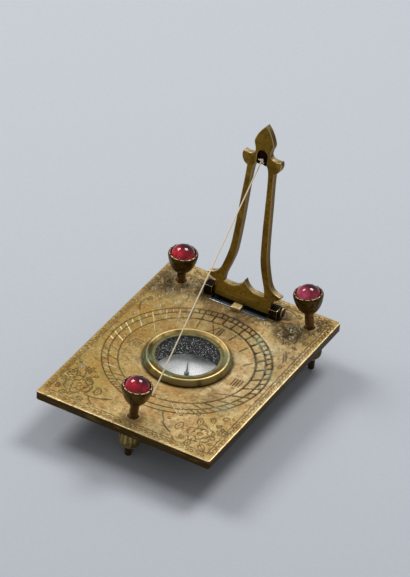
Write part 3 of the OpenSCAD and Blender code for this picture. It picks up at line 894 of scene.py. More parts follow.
# Flowers in the plate's corners, in millimetres: soil is how dirty their cuts are; blossoms have a centre,
# size and turn; leaves a centre, length and way; curls a centre, size, start, turns and hand; stems are
# lines of points
ORNAMENTS = (
    {"soil": 0.85,
     "blossoms": ((-26, -38, 4.9, 90), (-31.6, -32.8, 2.3, 60), (-31.6, -27.4, 1.7, 10),
                  (-27, -28.4, 1.7, 40)),
     "leaves": ((-18, -38, 4.6, 95), (-24.4, -33.4, 3.4, -12), (-29, -45, 3.4, 205), (-21.6, -45, 3.2, 160),
                (-32.6, -42.6, 3.2, 110), (-33, -37.6, 2.8, 80)),
     "curls": ((-26.4, -44.6, 1.1, 0, 1.2, 1), (-23.4, -30.6, 0.9, 90, 1.1, -1),
               (-17.2, -45.4, 1.0, 200, 1.2, 1)),
     "stems": (((-10.8, -38.9), (-12.6, -39.8), (-15.8, -41.4), (-19, -42), (-22.2, -41.6)),
               ((-33.6, -26), (-30.6, -26.8), (-28.4, -29), (-27.3, -32), (-26.8, -34.4)),
               ((-31, -35.6), (-31.8, -38.6), (-30.6, -41.6), (-28.2, -42.8)),
               ((-21.6, -35.6), (-20.9, -38), (-21.8, -40.4)),
               ((-19.4, -42.2), (-18.6, -43.8), (-17.2, -44.6)))},
    {"soil": 0.75,
     "blossoms": ((26.4, -38, 4.9, 70), (33, -33, 2.0, 80)),
     "leaves": ((17.5, -38, 4.8, 82), (23, -31.8, 4.4, 108), (26.7, -28.6, 3.4, 115), (25, -45, 4.2, 100),
                (30.8, -44.8, 4.6, 125), (21.4, -43.4, 3.0, 150), (30.2, -30.6, 2.6, 60)),
     "curls": ((30.4, -25.6, 1.5, 20, 1.1, 1), (20.2, -28.2, 1.3, 90, 1.2, 1),
               (14.2, -31.8, 1.3, 0, 1.2, -1), (31.4, -38.2, 1.6, 200, 1.1, -1),
               (32.6, -41.6, 1.0, 0, 1.1, 1), (12.2, -36.2, 0.8, 90, 1.0, 1)),
     "stems": (((8.4, -34.4), (9.3, -36.4), (10.6, -37.8), (11.8, -40.2), (14.6, -42.4), (16.8, -43.4)),
               ((20.2, -25.3), (22.8, -26.3)), ((27.2, -33.2), (29.4, -34.2), (30.2, -36), (30.2, -38)),
               ((21.8, -37), (21.8, -39.2), (22.8, -40.8)), ((17.6, -44.4), (18.8, -45.6), (20.2, -47)),
               ((28.4, -42.2), (30, -44), (32.4, -45.8)), ((24.4, -42), (26, -43), (28, -42.6)))},
    {"soil": 0.95,
     "blossoms": ((-22, 41.5, 2.6, 20), (-27, 30.8, 1.8, 0), (-33.2, 44.4, 1.8, 50)),
     "leaves": ((-24.2, 37, 3.0, 100), (-30.4, 36.4, 3.0, 60), (-31.4, 22.6, 2.8, 70), (-24.4, 47, 3.0, 10)),
     "curls": ((-21, 31, 1.2, 330, 1.2, 1), (-21.6, 26.4, 1.1, 0, 1.2, -1), (-26.2, 21, 1.1, 60, 1.2, 1),
               (-33.4, 29, 1.2, 90, 1.2, 1), (-31.4, 12.6, 1.1, 200, 1.1, 1), (-32, 41.6, 1.2, 0, 1.2, 1),
               (-23.6, 34, 1.1, 180, 1.2, -1), (-28.8, 26.6, 1.2, 90, 1.2, 1), (-18.6, 46.6, 1.1, 0, 1.2, 1),
               (-33.2, 34, 1.0, 270, 1.1, -1), (-13.6, 33.6, 1.1, 40, 1.2, 1)),
     "stems": (((-32.4, 21), (-33, 18.6), (-32.2, 16.4), (-30.6, 14)),
               ((-25.6, 48), (-23, 47.2), (-21.4, 45.6)),
               ((-24.8, 43), (-24.6, 40.6), (-25.4, 38.8)), ((-20.6, 34), (-19.4, 31), (-19, 28.4)),
               ((-33.6, 39), (-31, 37.8), (-28.4, 38.4), (-26.2, 36.4)),
               ((-30, 33), (-28.4, 34), (-26, 33.4)))},
    {"soil": 0.6,
     "blossoms": ((24.4, 37.2, 2.5, 20), (32, 45.8, 2.4, 50)),
     "leaves": ((26.8, 27.8, 3.0, 115), (32.6, 31.2, 2.8, 80), (22.4, 44.6, 3.0, 170),
                (31.4, 13.2, 2.6, 100)),
     "curls": ((21.2, 31.8, 1.5, 350, 0.8, -1), (12.4, 33.6, 1.5, 40, 1.2, 1), (26, 31.2, 1.3, 180, 1.2, -1),
               (15.4, 47, 1.2, 0, 1.2, 1), (32.6, 37.4, 1.3, 90, 1.2, 1), (32.6, 41.4, 1.1, 270, 1.2, 1),
               (30.4, 26.6, 1.1, 0, 1.2, -1), (32.8, 21, 1.1, 200, 1.2, 1), (26.4, 46.8, 1.2, 90, 1.2, 1),
               (9.6, 31.8, 0.8, 0, 1.0, 1), (29.4, 35, 1.1, 30, 1.1, 1)),
     "stems": (((28.4, 23.4), (30, 20.8), (31.6, 17.4)), ((28.8, 21), (30.6, 17.6), (31, 15.6)),
               ((30, 39), (31.2, 36.2), (30.8, 33)), ((14.8, 45.8), (18.4, 46), (21.2, 44.6)),
               ((23.8, 29.6), (25.2, 27.4), (25.4, 25.2)), ((27.8, 33.6), (29, 31), (28.6, 28.4)),
               ((28.6, 45.4), (30.6, 43.2), (33.4, 43)))})


def engrave_ornament(cuts, width, spray):
    """One corner's flowers, leaves, tendrils and stems. Small flowers and tendrils carry a stronger painted
    glint.
    """
    # Each tone: soil, then the strength of the painted glint
    dirty, worn = (spray["soil"], 0.1), (spray["soil"], 0.6)
    cuts.press = lambda p: 1.15 if p.y > 10 else 1.0
    for x, y, size, turn in spray["blossoms"]:
        cuts.tone = dirty if size > 4 else worn
        engrave_blossom(cuts, width, x, y, size, turn)
    cuts.tone = worn
    for x, y, size, start, turns, hand in spray["curls"]:
        engrave_curl(cuts, width, x, y, size, start, turns, hand)
    cuts.tone = dirty
    for x, y, size, turn in spray["leaves"]:
        engrave_leaf(cuts, width, x, y, size, turn)
    for points in spray["stems"]:
        cuts.stroke(smooth(points, 3), width, taper=0.6)


def engrave_border(cuts, plate):
    """An inner rule and a running scroll between it and the edge."""
    rule_x, rule_y, cell = 34.2, 47.0, 2.2
    width, ruled = plate.flower_w / MM, plate.line_w / MM
    cuts.tone, cuts.press = (0.65, 0.05), lambda p: 1.0
    for x in (-rule_x - 0.5, rule_x):
        wave = [(x + 0.16 * math.sin(2.3 * i), -rule_y + 2 * rule_y * i / 60) for i in range(61)]
        cuts.stroke(wave, ruled * 0.95)
    for y in (-rule_y + 0.2, rule_y):
        wave = [(-rule_x + 2 * rule_x * i / 62, y + (0.25 if i % 2 else 0)) for i in range(63)]
        cuts.stroke(wave, ruled * 0.75)
    middle_y, middle_x = rule_y + 1.5, rule_x + 1.45
    across = round(2 * rule_x / cell)
    for i in range(across):
        x = -rule_x + 2 * rule_x * (i + 0.5) / across
        for way in (-1, 1):
            engrave_curl(cuts, width * 0.85, x, way * middle_y, 1.0, 200 * way, 0.95, way)
            link = [(x + 0.9, way * (rule_y + 0.9)), (x + 1.3, way * (rule_y + 2))]
            cuts.stroke(link, width * 0.7, taper=0.4)
    along = round(2 * rule_y / cell)
    for i in range(along):
        y = -rule_y + 2 * rule_y * (i + 0.5) / along
        for way in (-1, 1):
            engrave_curl(cuts, width * 0.85, way * middle_x, y, 0.95, 90 - 90 * way, 0.95, way)
            link = [(way * (rule_x + 0.9), y + 0.9), (way * (rule_x + 1.9), y + 1.3)]
            cuts.stroke(link, width * 0.7, taper=0.4)


def plate_outline(inset):
    """The plate's outline, drawn in by the inset, with the same count of points each time."""
    radius = max(PLATE_CORNER - inset, 0.35)
    x, y = PLATE_W / 2 - inset - radius, PLATE_D / 2 - inset - radius
    points = []
    for cx, cy, start in ((x, y, 0), (-x, y, 90), (-x, -y, 180), (x, -y, 270)):
        for k in range(7):
            a = math.radians(start + 15 * k)
            points.append(Vector((cx + radius * math.cos(a), cy + radius * math.sin(a))))
    return points


def triangulate(points, edges, holes):
    """Triangles of the plane within the lines but not in the holes, and each input point's new number."""
    coords, _, faces, origins, _, _ = delaunay_2d_cdt(points, edges, [], 0, SAME_POINT, True)
    number = {}
    for new, olds in enumerate(origins):
        for old in olds:
            number[old] = new
    kept = []
    for face in faces:
        middle = sum((coords[i] for i in face), Vector((0, 0))) / 3
        if not any(within(middle, hole, share=OPEN_SHARE) for hole in holes):
            kept.append(list(face))
    return coords, kept, number


def hole_rim(hole, count):
    """This many points round the rim of a hole."""
    x, y, radius, _ = hole
    turns = [2 * math.pi * k / count for k in range(count)]
    return [Vector((x + radius * math.cos(turn), y + radius * math.sin(turn))) for turn in turns]


def sunk(coords, cuts, plate):
    """The points of the plate's top, sunk where a cut passes, and each one's soil, glint and rubbing."""
    tree = kdtree.KDTree(len(cuts))
    for i, (point, *_) in enumerate(cuts):
        tree.insert((point.x, point.y, 0), i)
    tree.balance()
    verts, marks = [], []
    for p in coords:
        near_by = tree.find_range((p.x, p.y, 0), plate.line_w / MM * CUT_REACH)
        found = [(cuts[i][1] - gap, *cuts[i][2:]) for _, i, gap in near_by]
        deep, held, bright = max(found + [(0.0, 0.0, 0.0)])
        share = min(1, max(0, deep - SOIL_FROM) / SOIL_OVER)
        verts.append((p.x, p.y, -deep * plate.graver_slope))
        marks.append((share * held, share * bright, 0.0))
    return verts, marks


def build_plate(plate):
    """The engraved plate as one closed mesh, marked with its cuts' soil and glint and its rubbed edge."""
    pocket_mid = (POCKET_FRONT + POCKET_BACK) / 2
    pocket = (0, pocket_mid, POCKET_X, (POCKET_BACK - POCKET_FRONT) / 2)
    screws = [(x, y, SPIGOT_R, SPIGOT_R) for x, y, _, _ in SCREWS.values()]
    compass = (0, COMPASS_Y, BOWL_R + 0.05, BOWL_R + 0.05)
    top_holes = [compass, pocket, (0, STRING_HOLE_Y, COUNTERSINK_R, COUNTERSINK_R)] + screws
    cuts = Engraving(top_holes)
    edge = plate.edge / MM
    rim = cuts.add_line(plate_outline(edge + 0.1), True)
    sides = {"compass": 96, "string": 24, "screw": 40}
    loops = [cuts.add_line(hole_rim(compass, sides["compass"]), True)]
    corners = [(POCKET_X, POCKET_BACK), (-POCKET_X, POCKET_BACK), (-POCKET_X, POCKET_FRONT),
               (POCKET_X, POCKET_FRONT)]
    pocket_loop = cuts.add_line([Vector(c) for c in corners], True)
    loops.append(cuts.add_line(hole_rim(top_holes[2], sides["string"]), True))
    loops += [cuts.add_line(hole_rim(s, sides["screw"]), True) for s in screws]

    engrave_hours(cuts, plate)
    # The numerals hold soil and a faint painted glint
    cuts.tone, cuts.press = (0.8, 0.15), lambda p: 1.1
    engrave_numeral(cuts, plate, "XII", 0, 19.2)
    engrave_numeral(cuts, plate, "VIII", -22.6, -4.2, 4.4)
    engrave_numeral(cuts, plate, "IIII", 22.6, -4.2, 4.4)
    for spray in ORNAMENTS:
        engrave_ornament(cuts, plate.flower_w / MM, spray)
    engrave_border(cuts, plate)

    coords, faces, number = triangulate(cuts.points, cuts.edges, top_holes)
    verts, marks = sunk(coords, cuts.cuts, plate)

    def ring(points, z, wear=0.0):
        first = len(verts)
        for p in points:
            verts.append((p[0], p[1], z))
            marks.append((0.0, 0.0, wear))
        return list(range(first, len(verts)))

    def bridge(a, b):
        for k in range(len(a)):
            n = (k + 1) % len(a)
            faces.append([a[k], a[n], b[n], b[k]])

    last = [number[i] for i in rim]
    # Down the plate's side: the inset as a share of the edge, the level and the rise from it, and the
    # rubbing, which paints the top edge pale as worn metal and as its highlight
    for share, level, rise, wear in ((1.0, 0, -0.02, 0.6), (0.55, 0, -0.14, 1.0), (0.2, 0, -0.38, 0.7),
                                     (0.0, 0, -0.8, 0.0), (0.0, -PLATE_T, 0.5, 0.0),
                                     (0.3, -PLATE_T, 0.1, 0.0), (0.7, -PLATE_T, 0.0, 0.0)):
        lower = ring(plate_outline(edge * share), level + edge * rise, wear)
        bridge(lower, last)
        last = lower
    under = Engraving([])
    under_rim = under.add_line([Vector(verts[i][:2]) for i in last], True)
    bottoms, bottom_holes = [], [compass, (0, STRING_HOLE_Y, STRING_HOLE_R, STRING_HOLE_R)]
    for x, y, lean, _ in SCREWS.values():
        bottom_holes.append((x - PLATE_T * math.tan(math.radians(lean)), y, SPIGOT_R, SPIGOT_R))
    for hole, count in zip(bottom_holes, (sides["compass"], sides["string"], *[sides["screw"]] * 3)):
        bottoms.append(under.add_line(hole_rim(hole, count), True))
    coords, under_faces, under_number = triangulate(under.points, under.edges, bottom_holes)
    first = len(verts)
    ring(coords, -PLATE_T)
    faces += [[first + i for i in reversed(f)] for f in under_faces]
    bridge([first + under_number[i] for i in under_rim], last)
    loops_top = [[number[i] for i in loop] for loop in loops]
    loops_low = [[first + under_number[i] for i in loop] for loop in bottoms]
    neck = ring(hole_rim(bottom_holes[1], sides["string"]), -COUNTERSINK_DEPTH)
    bridge(loops_top[1], neck)
    bridge(neck, loops_low[1])
    for k in (0, 2, 3, 4):
        bridge(loops_top[k], loops_low[k])
    floor = ring(corners, -POCKET_DEPTH)
    bridge([number[i] for i in pocket_loop], floor)
    faces.append(floor[::-1])

    soil, glint, rubbed = zip(*marks)
    return new_object("engraved_plate", verts, faces, soil=soil, glint=glint, rubbed=rubbed)


# Folding frame

def mirrored(half):
    """A half outline and its mirror image, as one closed line."""
    return list(half) + [Vector((-p.x, p.y)) for p in reversed(half) if p.x > 0.01]


def frame_outline():
    """The frame's outer line, from the middle of its bar round the right leg and the spade, and mirrored."""
    foot = [Vector((0, 0))] + smooth([(BAR_X - 1.2, 0), (BAR_X - 0.35, 0.35), (BAR_X, 1.2)])
    toe = smooth([(BAR_X, 6.4), (13.8, 6.75), (15.1, 7.35), (15.95, 8.2)])
    toe += smooth([(16.05, 8.95), (14.7, 9.2), (13.2, 9.8), (11.8, 11), (10.7, 12.9), (9.9, 15.4)])[:-1]
    leg = smooth([(9.9, 15.4), (8.7, 20), (7.9, 25), (7.2, 35), (6.65, 45), (6.1, 54), (5.9, 59.6)])[:-1]
    lobe = smooth([(5.9, 59.6), (7.2, 60.4), (8.2, 62), (8.5, 63.8), (8.1, 65.2)])[:-1]
    lobe += smooth([(8.1, 65.2), (6.4, 64.9), (4.8, 65.1), (3.6, 65.8), (3.25, 66.6)])[:-1]
    spade = smooth([(3.25, 66.6), (3.45, 68.2), (4.1, 70.2), (4, 71.6), (3.1, 73.9), (1.75, 76.2),
                    (0, FRAME_H)])
    return mirrored(foot + toe + leg + lobe + spade)


def frame_opening():
    """The opening between the legs, from the bar's cusp up to the arch of the slot, and mirrored."""
    scallop = smooth([(0, 10.9), (0.7, 9.5), (2.1, 7.9), (4.2, 6.7), (6.6, 6.45), (8.9, 7)])[:-1]
    leg = smooth([(8.9, 7), (8.5, 10), (6.9, 15), (5.6, 20), (5, 25), (4.4, 35), (4.05, 45), (3.8, 52),
                  (3.4, 58), (3, 60.2), (SLOT_X, 61.8)])
    arch = round_line(0, SLOT_TOP, SLOT_X, 0, 90, 0.4)
    return mirrored(scallop + leg + arch)


def build_frame(settings):
    """The frame as a flat curve with its opening, thick and rounded all round, stood on its pin."""
    curve = bpy.data.curves.new("folding_frame", "CURVE")
    curve.dimensions, curve.fill_mode = "2D", "BOTH"
    edge = settings.edge / MM
    curve.extrude = FRAME_T / 2 - edge
    curve.bevel_depth, curve.bevel_resolution, curve.offset = edge, 2, -edge
    for line in (frame_outline(), frame_opening()):
        spline = curve.splines.new("POLY")
        spline.points.add(len(line) - 1)
        for point, p in zip(spline.points, line):
            point.co = (p.x, p.y, 0, 1)
        spline.use_cyclic_u = True
    flat = put_in_scene("folding_frame", curve)
    mesh = made_mesh(flat)
    bpy.data.objects.remove(flat)
    middle = FRAME_T / 2 - PIN_IN
    stand = ON_FRAME @ Matrix.Translation((0, middle, -PIN_RISE)) @ Matrix.Rotation(math.radians(90), 4, "X")
    mesh.transform(stand)
    face_way = (ON_FRAME.to_3x3() @ Vector((0, 1, 0))).normalized()
    with editing(mesh) as bm:
        bmesh.ops.remove_doubles(bm, verts=bm.verts, dist=WELD)
        bmesh.ops.recalc_face_normals(bm, faces=bm.faces)
        for f in bm.faces:
            across = abs(f.normal.dot(face_way))
            f.material_index = 0 if across > FLAT else 1 if across > ROUNDED else 2
    return put_in_scene("folding_frame", mesh)


# Geometry node trees

def node_tree(name, sockets):
    """A geometry node tree with a geometry going through it and named inputs, and what its inputs give."""
    tree = bpy.data.node_groups.new(name, "GeometryNodeTree")
    tree.interface.new_socket(name="Geometry", in_out="INPUT", socket_type="NodeSocketGeometry")
    for label, kind in sockets.items():
        tree.interface.new_socket(name=label, in_out="INPUT", socket_type="NodeSocket" + kind)
    tree.interface.new_socket(name="Geometry", in_out="OUTPUT", socket_type="NodeSocketGeometry")
    return tree, tree.nodes.new("NodeGroupInput").outputs


def end_tree(tree, given, made, rise):
    """Lifts what was made, joins it to the geometry that came in, realizes it and gives it the finish."""
    lift = add(tree, "ShaderNodeCombineXYZ", {"Z": rise})
    lifted = add(tree, "GeometryNodeTransform", {"Geometry": made, "Translation": lift})
    joined = add(tree, "GeometryNodeJoinGeometry", {0: given["Geometry"]})
    tree.links.new(lifted, joined.node.inputs[0])
    real = add(tree, "GeometryNodeRealizeInstances", {0: joined})
    finish = add(tree, "GeometryNodeSetMaterial", {"Geometry": real, "Material": given["Finish"]})
    add(tree, "NodeGroupOutput", {0: finish})


def run_tree(obj, tree, values):
    """Runs a tree on an object with these inputs, and keeps the plain mesh."""
    modifier = obj.modifiers.new(tree.name, "NODES")
    modifier.node_group = tree
    for item in tree.interface.items_tree:
        if item.item_type == "SOCKET" and item.in_out == "INPUT" and item.name in values:
            modifier[item.identifier] = values[item.name]
    return bake_modifiers(obj)


def claw_tree():
    """Claws set round the rim of a cup, each a little different."""
    tree, given = node_tree("claw_ring", {"Claw": "Object", "Count": "Int", "Rim radius": "Float",
                                          "Rim height": "Float", "Seed": "Int", "Finish": "Material"})
    circle = add(tree, "GeometryNodeMeshCircle", {"Vertices": given["Count"], "Radius": given["Rim radius"]})
    spot = add(tree, "GeometryNodeInputPosition")
    turn = add(tree, "FunctionNodeAlignRotationToVector", {"Vector": spot}, axis="X")
    size = add(tree, "FunctionNodeRandomValue", {2: 0.6, 3: 1.1, "Seed": given["Seed"]}, data_type="FLOAT")
    claw = add(tree, "GeometryNodeObjectInfo", {"Object": given["Claw"]}, out="Geometry")
    ring = add(tree, "GeometryNodeInstanceOnPoints", {"Points": circle, "Instance": claw, "Rotation": turn,
                                                      "Scale": size})
    end_tree(tree, given, ring, given["Rim height"])
    return tree


def thread_tree():
    """A thread's ridge wound round a shank."""
    tree, given = node_tree("screw_thread", {"Radius": "Float", "Pitch": "Float", "Turns": "Float",
                                             "Foot": "Float", "Ridge": "Float", "Finish": "Material"})
    rise = add(tree, "ShaderNodeMath", {0: given["Pitch"], 1: given["Turns"]}, operation="MULTIPLY")
    helix = add(tree, "GeometryNodeCurveSpiral", {"Resolution": 20, "Rotations": given["Turns"],
                                                  "Start Radius": given["Radius"],
                                                  "End Radius": given["Radius"], "Height": rise})
    profile = add(tree, "GeometryNodeCurvePrimitiveCircle", {"Resolution": 6, "Radius": given["Ridge"]})
    ridge = add(tree, "GeometryNodeCurveToMesh", {"Curve": helix, "Profile Curve": profile,
                                                  "Fill Caps": True})
    end_tree(tree, given, ridge, given["Foot"])
    return tree


# Operators

class SUNDIAL_OT_camera(bpy.types.Operator):
    """Set the camera at the photograph's angle"""

    bl_idname = "sundial.camera"
    bl_label = "Camera"

    def execute(self, context):
        stage = context.scene.sundial_stage
        target = ON_DIAL @ Vector(CAMERA_TARGET)
        back = Vector((math.sin(stage.azimuth) * math.cos(stage.elevation),
                       -math.cos(stage.azimuth) * math.cos(stage.elevation), math.sin(stage.elevation)))
        data = bpy.data.cameras.new("camera")
        data.lens, data.sensor_width, data.sensor_fit = stage.lens, SENSOR_W, "AUTO"
        data.clip_start, data.clip_end = 0.05, 20
        camera = put_in_scene("camera", data)
        turn = (-back).to_track_quat("-Z", "Y").to_matrix().to_4x4() @ Matrix.Rotation(stage.roll, 4, "Z")
        camera.matrix_world = Matrix.Translation(target + back * stage.distance) @ turn
        context.scene.camera = camera
        return {"FINISHED"}


def string_route():
    """The string's line in the drawing: from its knot under the plate, up its hole and on to the eye."""
    sine, cosine = math.sin(math.radians(LEAN)), math.cos(math.radians(LEAN))
    back, up = SADDLE_FRONT - KNOT_R, EYE_H - PIN_RISE
    knot = Vector((0, PIN_Y + back * cosine + up * sine, PIN_Z - back * sine + up * cosine))
    mouth = Vector((0, STRING_HOLE_Y + 0.55, 0.45))
    top = knot - (knot - mouth).normalized() * (KNOT_R * 0.5)
    low = [Vector((0, STRING_HOLE_Y, -PLATE_T - 0.4)), Vector((0, STRING_HOLE_Y, -2.4)),
           Vector((0, STRING_HOLE_Y, -0.8)), Vector((0, STRING_HOLE_Y + 0.13, -0.1)), mouth]
    return smooth(low + [mouth.lerp(top, 0.02)], 5)[:-1], mouth.lerp(top, 0.02), top, knot


def knot_piece(name, centre, radius, tails):
    """A thumb knot: the thread in a tight trefoil, with its cut ends standing out."""
    count, thread = 48, STRING_R * 0.95
    reach = (radius - thread * 0.75) / 3
    line = []
    for i in range(count):
        t = 2 * math.pi * i / count
        line.append(centre + reach * Vector((math.sin(t) + 2 * math.sin(2 * t), -math.sin(3 * t),
                                             math.cos(t) - 2 * math.cos(2 * t))))
    verts, faces = tube(line, thread, 8, closed=True)
    obj = new_object(name, verts, faces)
    for end in tails:
        ends = smooth([centre, centre + Vector(end) * 0.6 + Vector((0, -0.25, 0)), centre + Vector(end)], 4)
        tail_verts, tail_faces = tube(ends, thread * 0.8, 8)
        join(obj, new_object("tail", tail_verts, tail_faces))
    return obj


class SUNDIAL_OT_string(bpy.types.Operator):
    """Make the shadow string with its two knots"""

    bl_idname = "sundial.string"
    bl_label = "Shadow string"

    def execute(self, context):
        settings = context.scene.sundial_string
        low, mid, top, knot = string_route()
        steps = round((top - mid).length / STRING_STEP)
        line = low + [mid.lerp(top, i / steps) for i in range(steps + 1)]
        depth, lay = settings.strand_depth, settings.lay / MM

        def strands(angle, distance):
            return 1 - depth + depth * abs(math.cos(1.5 * (angle - 2 * math.pi * distance / lay)))

        verts, faces = tube(line, STRING_R, 12, shape=strands)
        string = new_object("shadow_string", verts, faces)
        thread = cotton(settings)
        finish_piece(string, None, ["string"], "cotton_thread", thread, sharp=60)
        path = [ON_DIAL @ p for p in line]
        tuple(path[0])
        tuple(path[-1])
        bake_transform(string)
        upper = knot_piece("string_knot_upper", knot, KNOT_R, [(-1.2, -0.4, 0.45), (1.25, -0.5, -0.65)])
        lower = knot_piece("string_knot_lower", Vector((0, STRING_HOLE_Y, -PLATE_T - 0.9)), LOWER_KNOT_R,
                           [(0.8, 0.4, -0.7)])
        finish_piece(upper, "gnomon", ["upper_knot"], "cotton_thread", thread, sharp=60)
        finish_piece(lower, "dial", ["lower_knot"], "cotton_thread", thread, sharp=60)
        whole = sum((b - a).length for a, b in zip(path, path[1:]))
        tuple(path[0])
        return {"FINISHED"}


class SUNDIAL_OT_plate(bpy.types.Operator):
    """Make the engraved dial plate"""

    bl_idname = "sundial.plate"
    bl_label = "Engraved plate"

    def execute(self, context):
        plate = context.scene.sundial_plate
        obj = build_plate(plate)
        finish_piece(obj, "dial", ["dial_plate"], "engraved_brass", plate_brass(plate), sharp=18)
        return {"FINISHED"}


class SUNDIAL_OT_compass(bpy.types.Operator):
    """Make the compass: bowl, card, needle, glass and bezel"""

    bl_idname = "sundial.compass"
    bl_label = "Compass"

    def execute(self, context):
        settings = context.scene.sundial_compass
        bezel_metal, black = bezel_brass(settings), blackened_brass(settings)
        floor = ON_COMPASS @ Matrix.Translation((0, 0, -WELL_DEPTH))
        outside = smooth([(BEZEL_R, 0), (BEZEL_R - 0.1, 0.7), (BEZEL_R - 0.5, 1.7),
                          (CREST_R + 0.5, CREST_H - 0.25), (CREST_R, CREST_H)], 5)
        inside = smooth([(CREST_R, CREST_H), (CREST_R - 0.7, CREST_H - 0.2), (APERTURE_R + 0.5, 2.15),
                         (APERTURE_R, 2.05)], 5)[1:]
        seat = [(APERTURE_R, GLASS_TOP), (GLASS_R + 0.1, GLASS_TOP), (GLASS_R + 0.1, RIM_H),
                (BOWL_R + 0.05, RIM_H), (BOWL_R + 0.05, 0.5), (BOWL_R + 1.25, 0.5), (BOWL_R + 1.25, 0)]
        bezel = turned("turned_bezel", outside + inside + seat, 128, ON_COMPASS, closed=True)
        finish_piece(bezel, "dial", ["compass_bezel"], "polished_brass", bezel_metal)

        base = -WELL_DEPTH - FLOOR_T
        round_r = 0.8
        rounding = [(BOWL_R - round_r + round_r * math.sin(a), base + round_r - round_r * math.cos(a))
                    for a in (math.radians(15 * k) for k in range(7))]
        wall = [(BOWL_R, 0), (BOWL_R + 1.2, 0), (BOWL_R + 1.2, 0.45), (BOWL_R, 0.45), (BOWL_R, RIM_H),
                (WELL_R, RIM_H), (WELL_R, -WELL_DEPTH + 0.3), (WELL_R - 0.3, -WELL_DEPTH), (0, -WELL_DEPTH)]
        bowl = turned("compass_well", [(0, base), (BOWL_R - 1.2, base)] + rounding + wall, 96, ON_COMPASS)
        outer = aged_brass("spun_brass", "#A88A48", "#6E5A2E", "#2E2414", 0.4)
        inner_r = (WELL_R + BOWL_R) / 2 * MM
        for f in bowl.data.polygons:
            away = (f.center - ON_COMPASS.translation).to_2d().length
            f.material_index = 1 if away < inner_r and f.center.z > (STAND_H - WELL_DEPTH - 0.1) * MM else 0
        finish_piece(bowl, "dial", ["compass_bowl"], "dark_brass", outer, black)

        card = turned("paper_card", [(0.9, 0), (WELL_R - 0.2, 0), (WELL_R - 0.2, CARD_T), (0.9, CARD_T)], 96,
                      floor, closed=True)
        finish_piece(card, "dial", ["compass_card"], "white_paper", compass_paper(settings))

        ground = 0.12
        pane = [(0, 0), (GLASS_R - ground, 0), (GLASS_R, ground), (GLASS_R, GLASS_T - ground),
                (GLASS_R - ground, GLASS_T), (0, GLASS_T)]
        glass = turned("compass_window", pane, 96, ON_COMPASS @ Matrix.Translation((0, 0, RIM_H)))
        finish_piece(glass, "dial", ["compass_glass"], "clear_glass", dusty_glass(settings))

        section = ((RING_IN, 0.05), (RING_IN + 0.1, RING_T), (APERTURE_R - 0.12, RING_T), (APERTURE_R, 0.2),
                   (APERTURE_R, 0), (RING_IN + 0.1, 0))
        steps, gap = 120, 1.7
        rows = []
        for i in range(steps + 1):
            a = math.radians(NEEDLE_BEARING - 60 + gap / 2 + (360 - gap) * i / steps)
            rows.append([(r * math.cos(a), r * math.sin(a), z) for r, z in section])
        ring = new_object("split_ring", *bar_of(rows), ON_COMPASS @ Matrix.Translation((0, 0, GLASS_TOP)))
        finish_piece(ring, "dial", ["glass_ring"], "tarnished_brass",
                     aged_brass("verdigrised_brass", "#8C8054", "#6C6E4C", "#46503A", 0.5, 3.0, 0.7))

        post = [(0, 0), (0.9, 0), (0.9, 0.3), (0.4, 0.45), (0.35, 0.75), (0, 1.35)]
        finish_piece(turned("needle_post", post, 32, floor), "dial", ["needle_pivot"], "steel",
                     dark_steel("drawn_steel", "#8B8880", "#5C5A54"))
        needle = softened("compass_needle", "blued_needle", 0.05)
        finish_piece(needle, "needle", ["compass_needle"], "blued_steel",
                     dark_steel("blued_steel", "#1C1E26", "#2E3446"),
                     dark_steel("blued_steel_edge", "#2C3040", "#3C4252"))
        dome = [(0.5, -0.01), (0.7, 0), (0.7, NEEDLE_T), (1.0, NEEDLE_T), (0.96, NEEDLE_T + 0.12),
                (0.8, NEEDLE_T + 0.42), (0.45, NEEDLE_T + 0.68), (0, NEEDLE_T + 0.7), (0, 0.69), (0.15, 0.69)]
        cap = turned("needle_cap_turned", dome, 40, ON_COMPASS @ Matrix.Translation((0, 0, NEEDLE_Z)),
                     closed=True)
        finish_piece(cap, "needle", ["needle_cap"], "tarnished_brass",
                     aged_brass("green_brass", "#7E9478", "#5E7866", "#2C3830", 0.4))
        return {"FINISHED"}


class SUNDIAL_OT_hinge(bpy.types.Operator):
    """Dress the hinge: blocks, pin, steel strip and rest"""

    bl_idname = "sundial.hinge"
    bl_label = "Hinge"

    def execute(self, context):
        dark = aged_brass("oxidised_brass", "#3A3020", "#1C170E", "#0E0A06", 0.26, 2.0)
        tan = aged_brass("filed_brass", "#D8C090", "#A88E5E", "#5C4628", 0.5, 1.6)
        edge = rubbed_and_highlighted_brass("rubbed_and_highlighted_hinge_edge", "#DCC69A")
        steel = dark_steel("oiled_steel", "#6A7478", "#3A4246", 0.42)
        # The strip's edges are painted pale, as worn steel and as their highlight
        bright = dark_steel("worn_and_highlighted_steel_edge", "#C4CACC", "#8A9092", 0.25)
        parts = (("hinge_block_left", 0.22, "dark_brass", dark, edge),
                 ("hinge_block_right", 0.22, "dark_brass", dark, edge),
                 ("hinge_pin", 0.22, "dark_brass", dark, edge), ("hinge_bed", 0.15, "steel", steel, bright),
                 ("frame_rest", 0.15, "tarnished_brass", tan, edge),
                 ("hinge_rivets", 0.12, "tarnished_brass", tan, edge))
        for node, round_edge, slot, finish, worn in parts:
            piece = softened(node, node + "_filed", round_edge)
            finish_piece(piece, "dial", [node], slot, finish, worn)
        return {"FINISHED"}


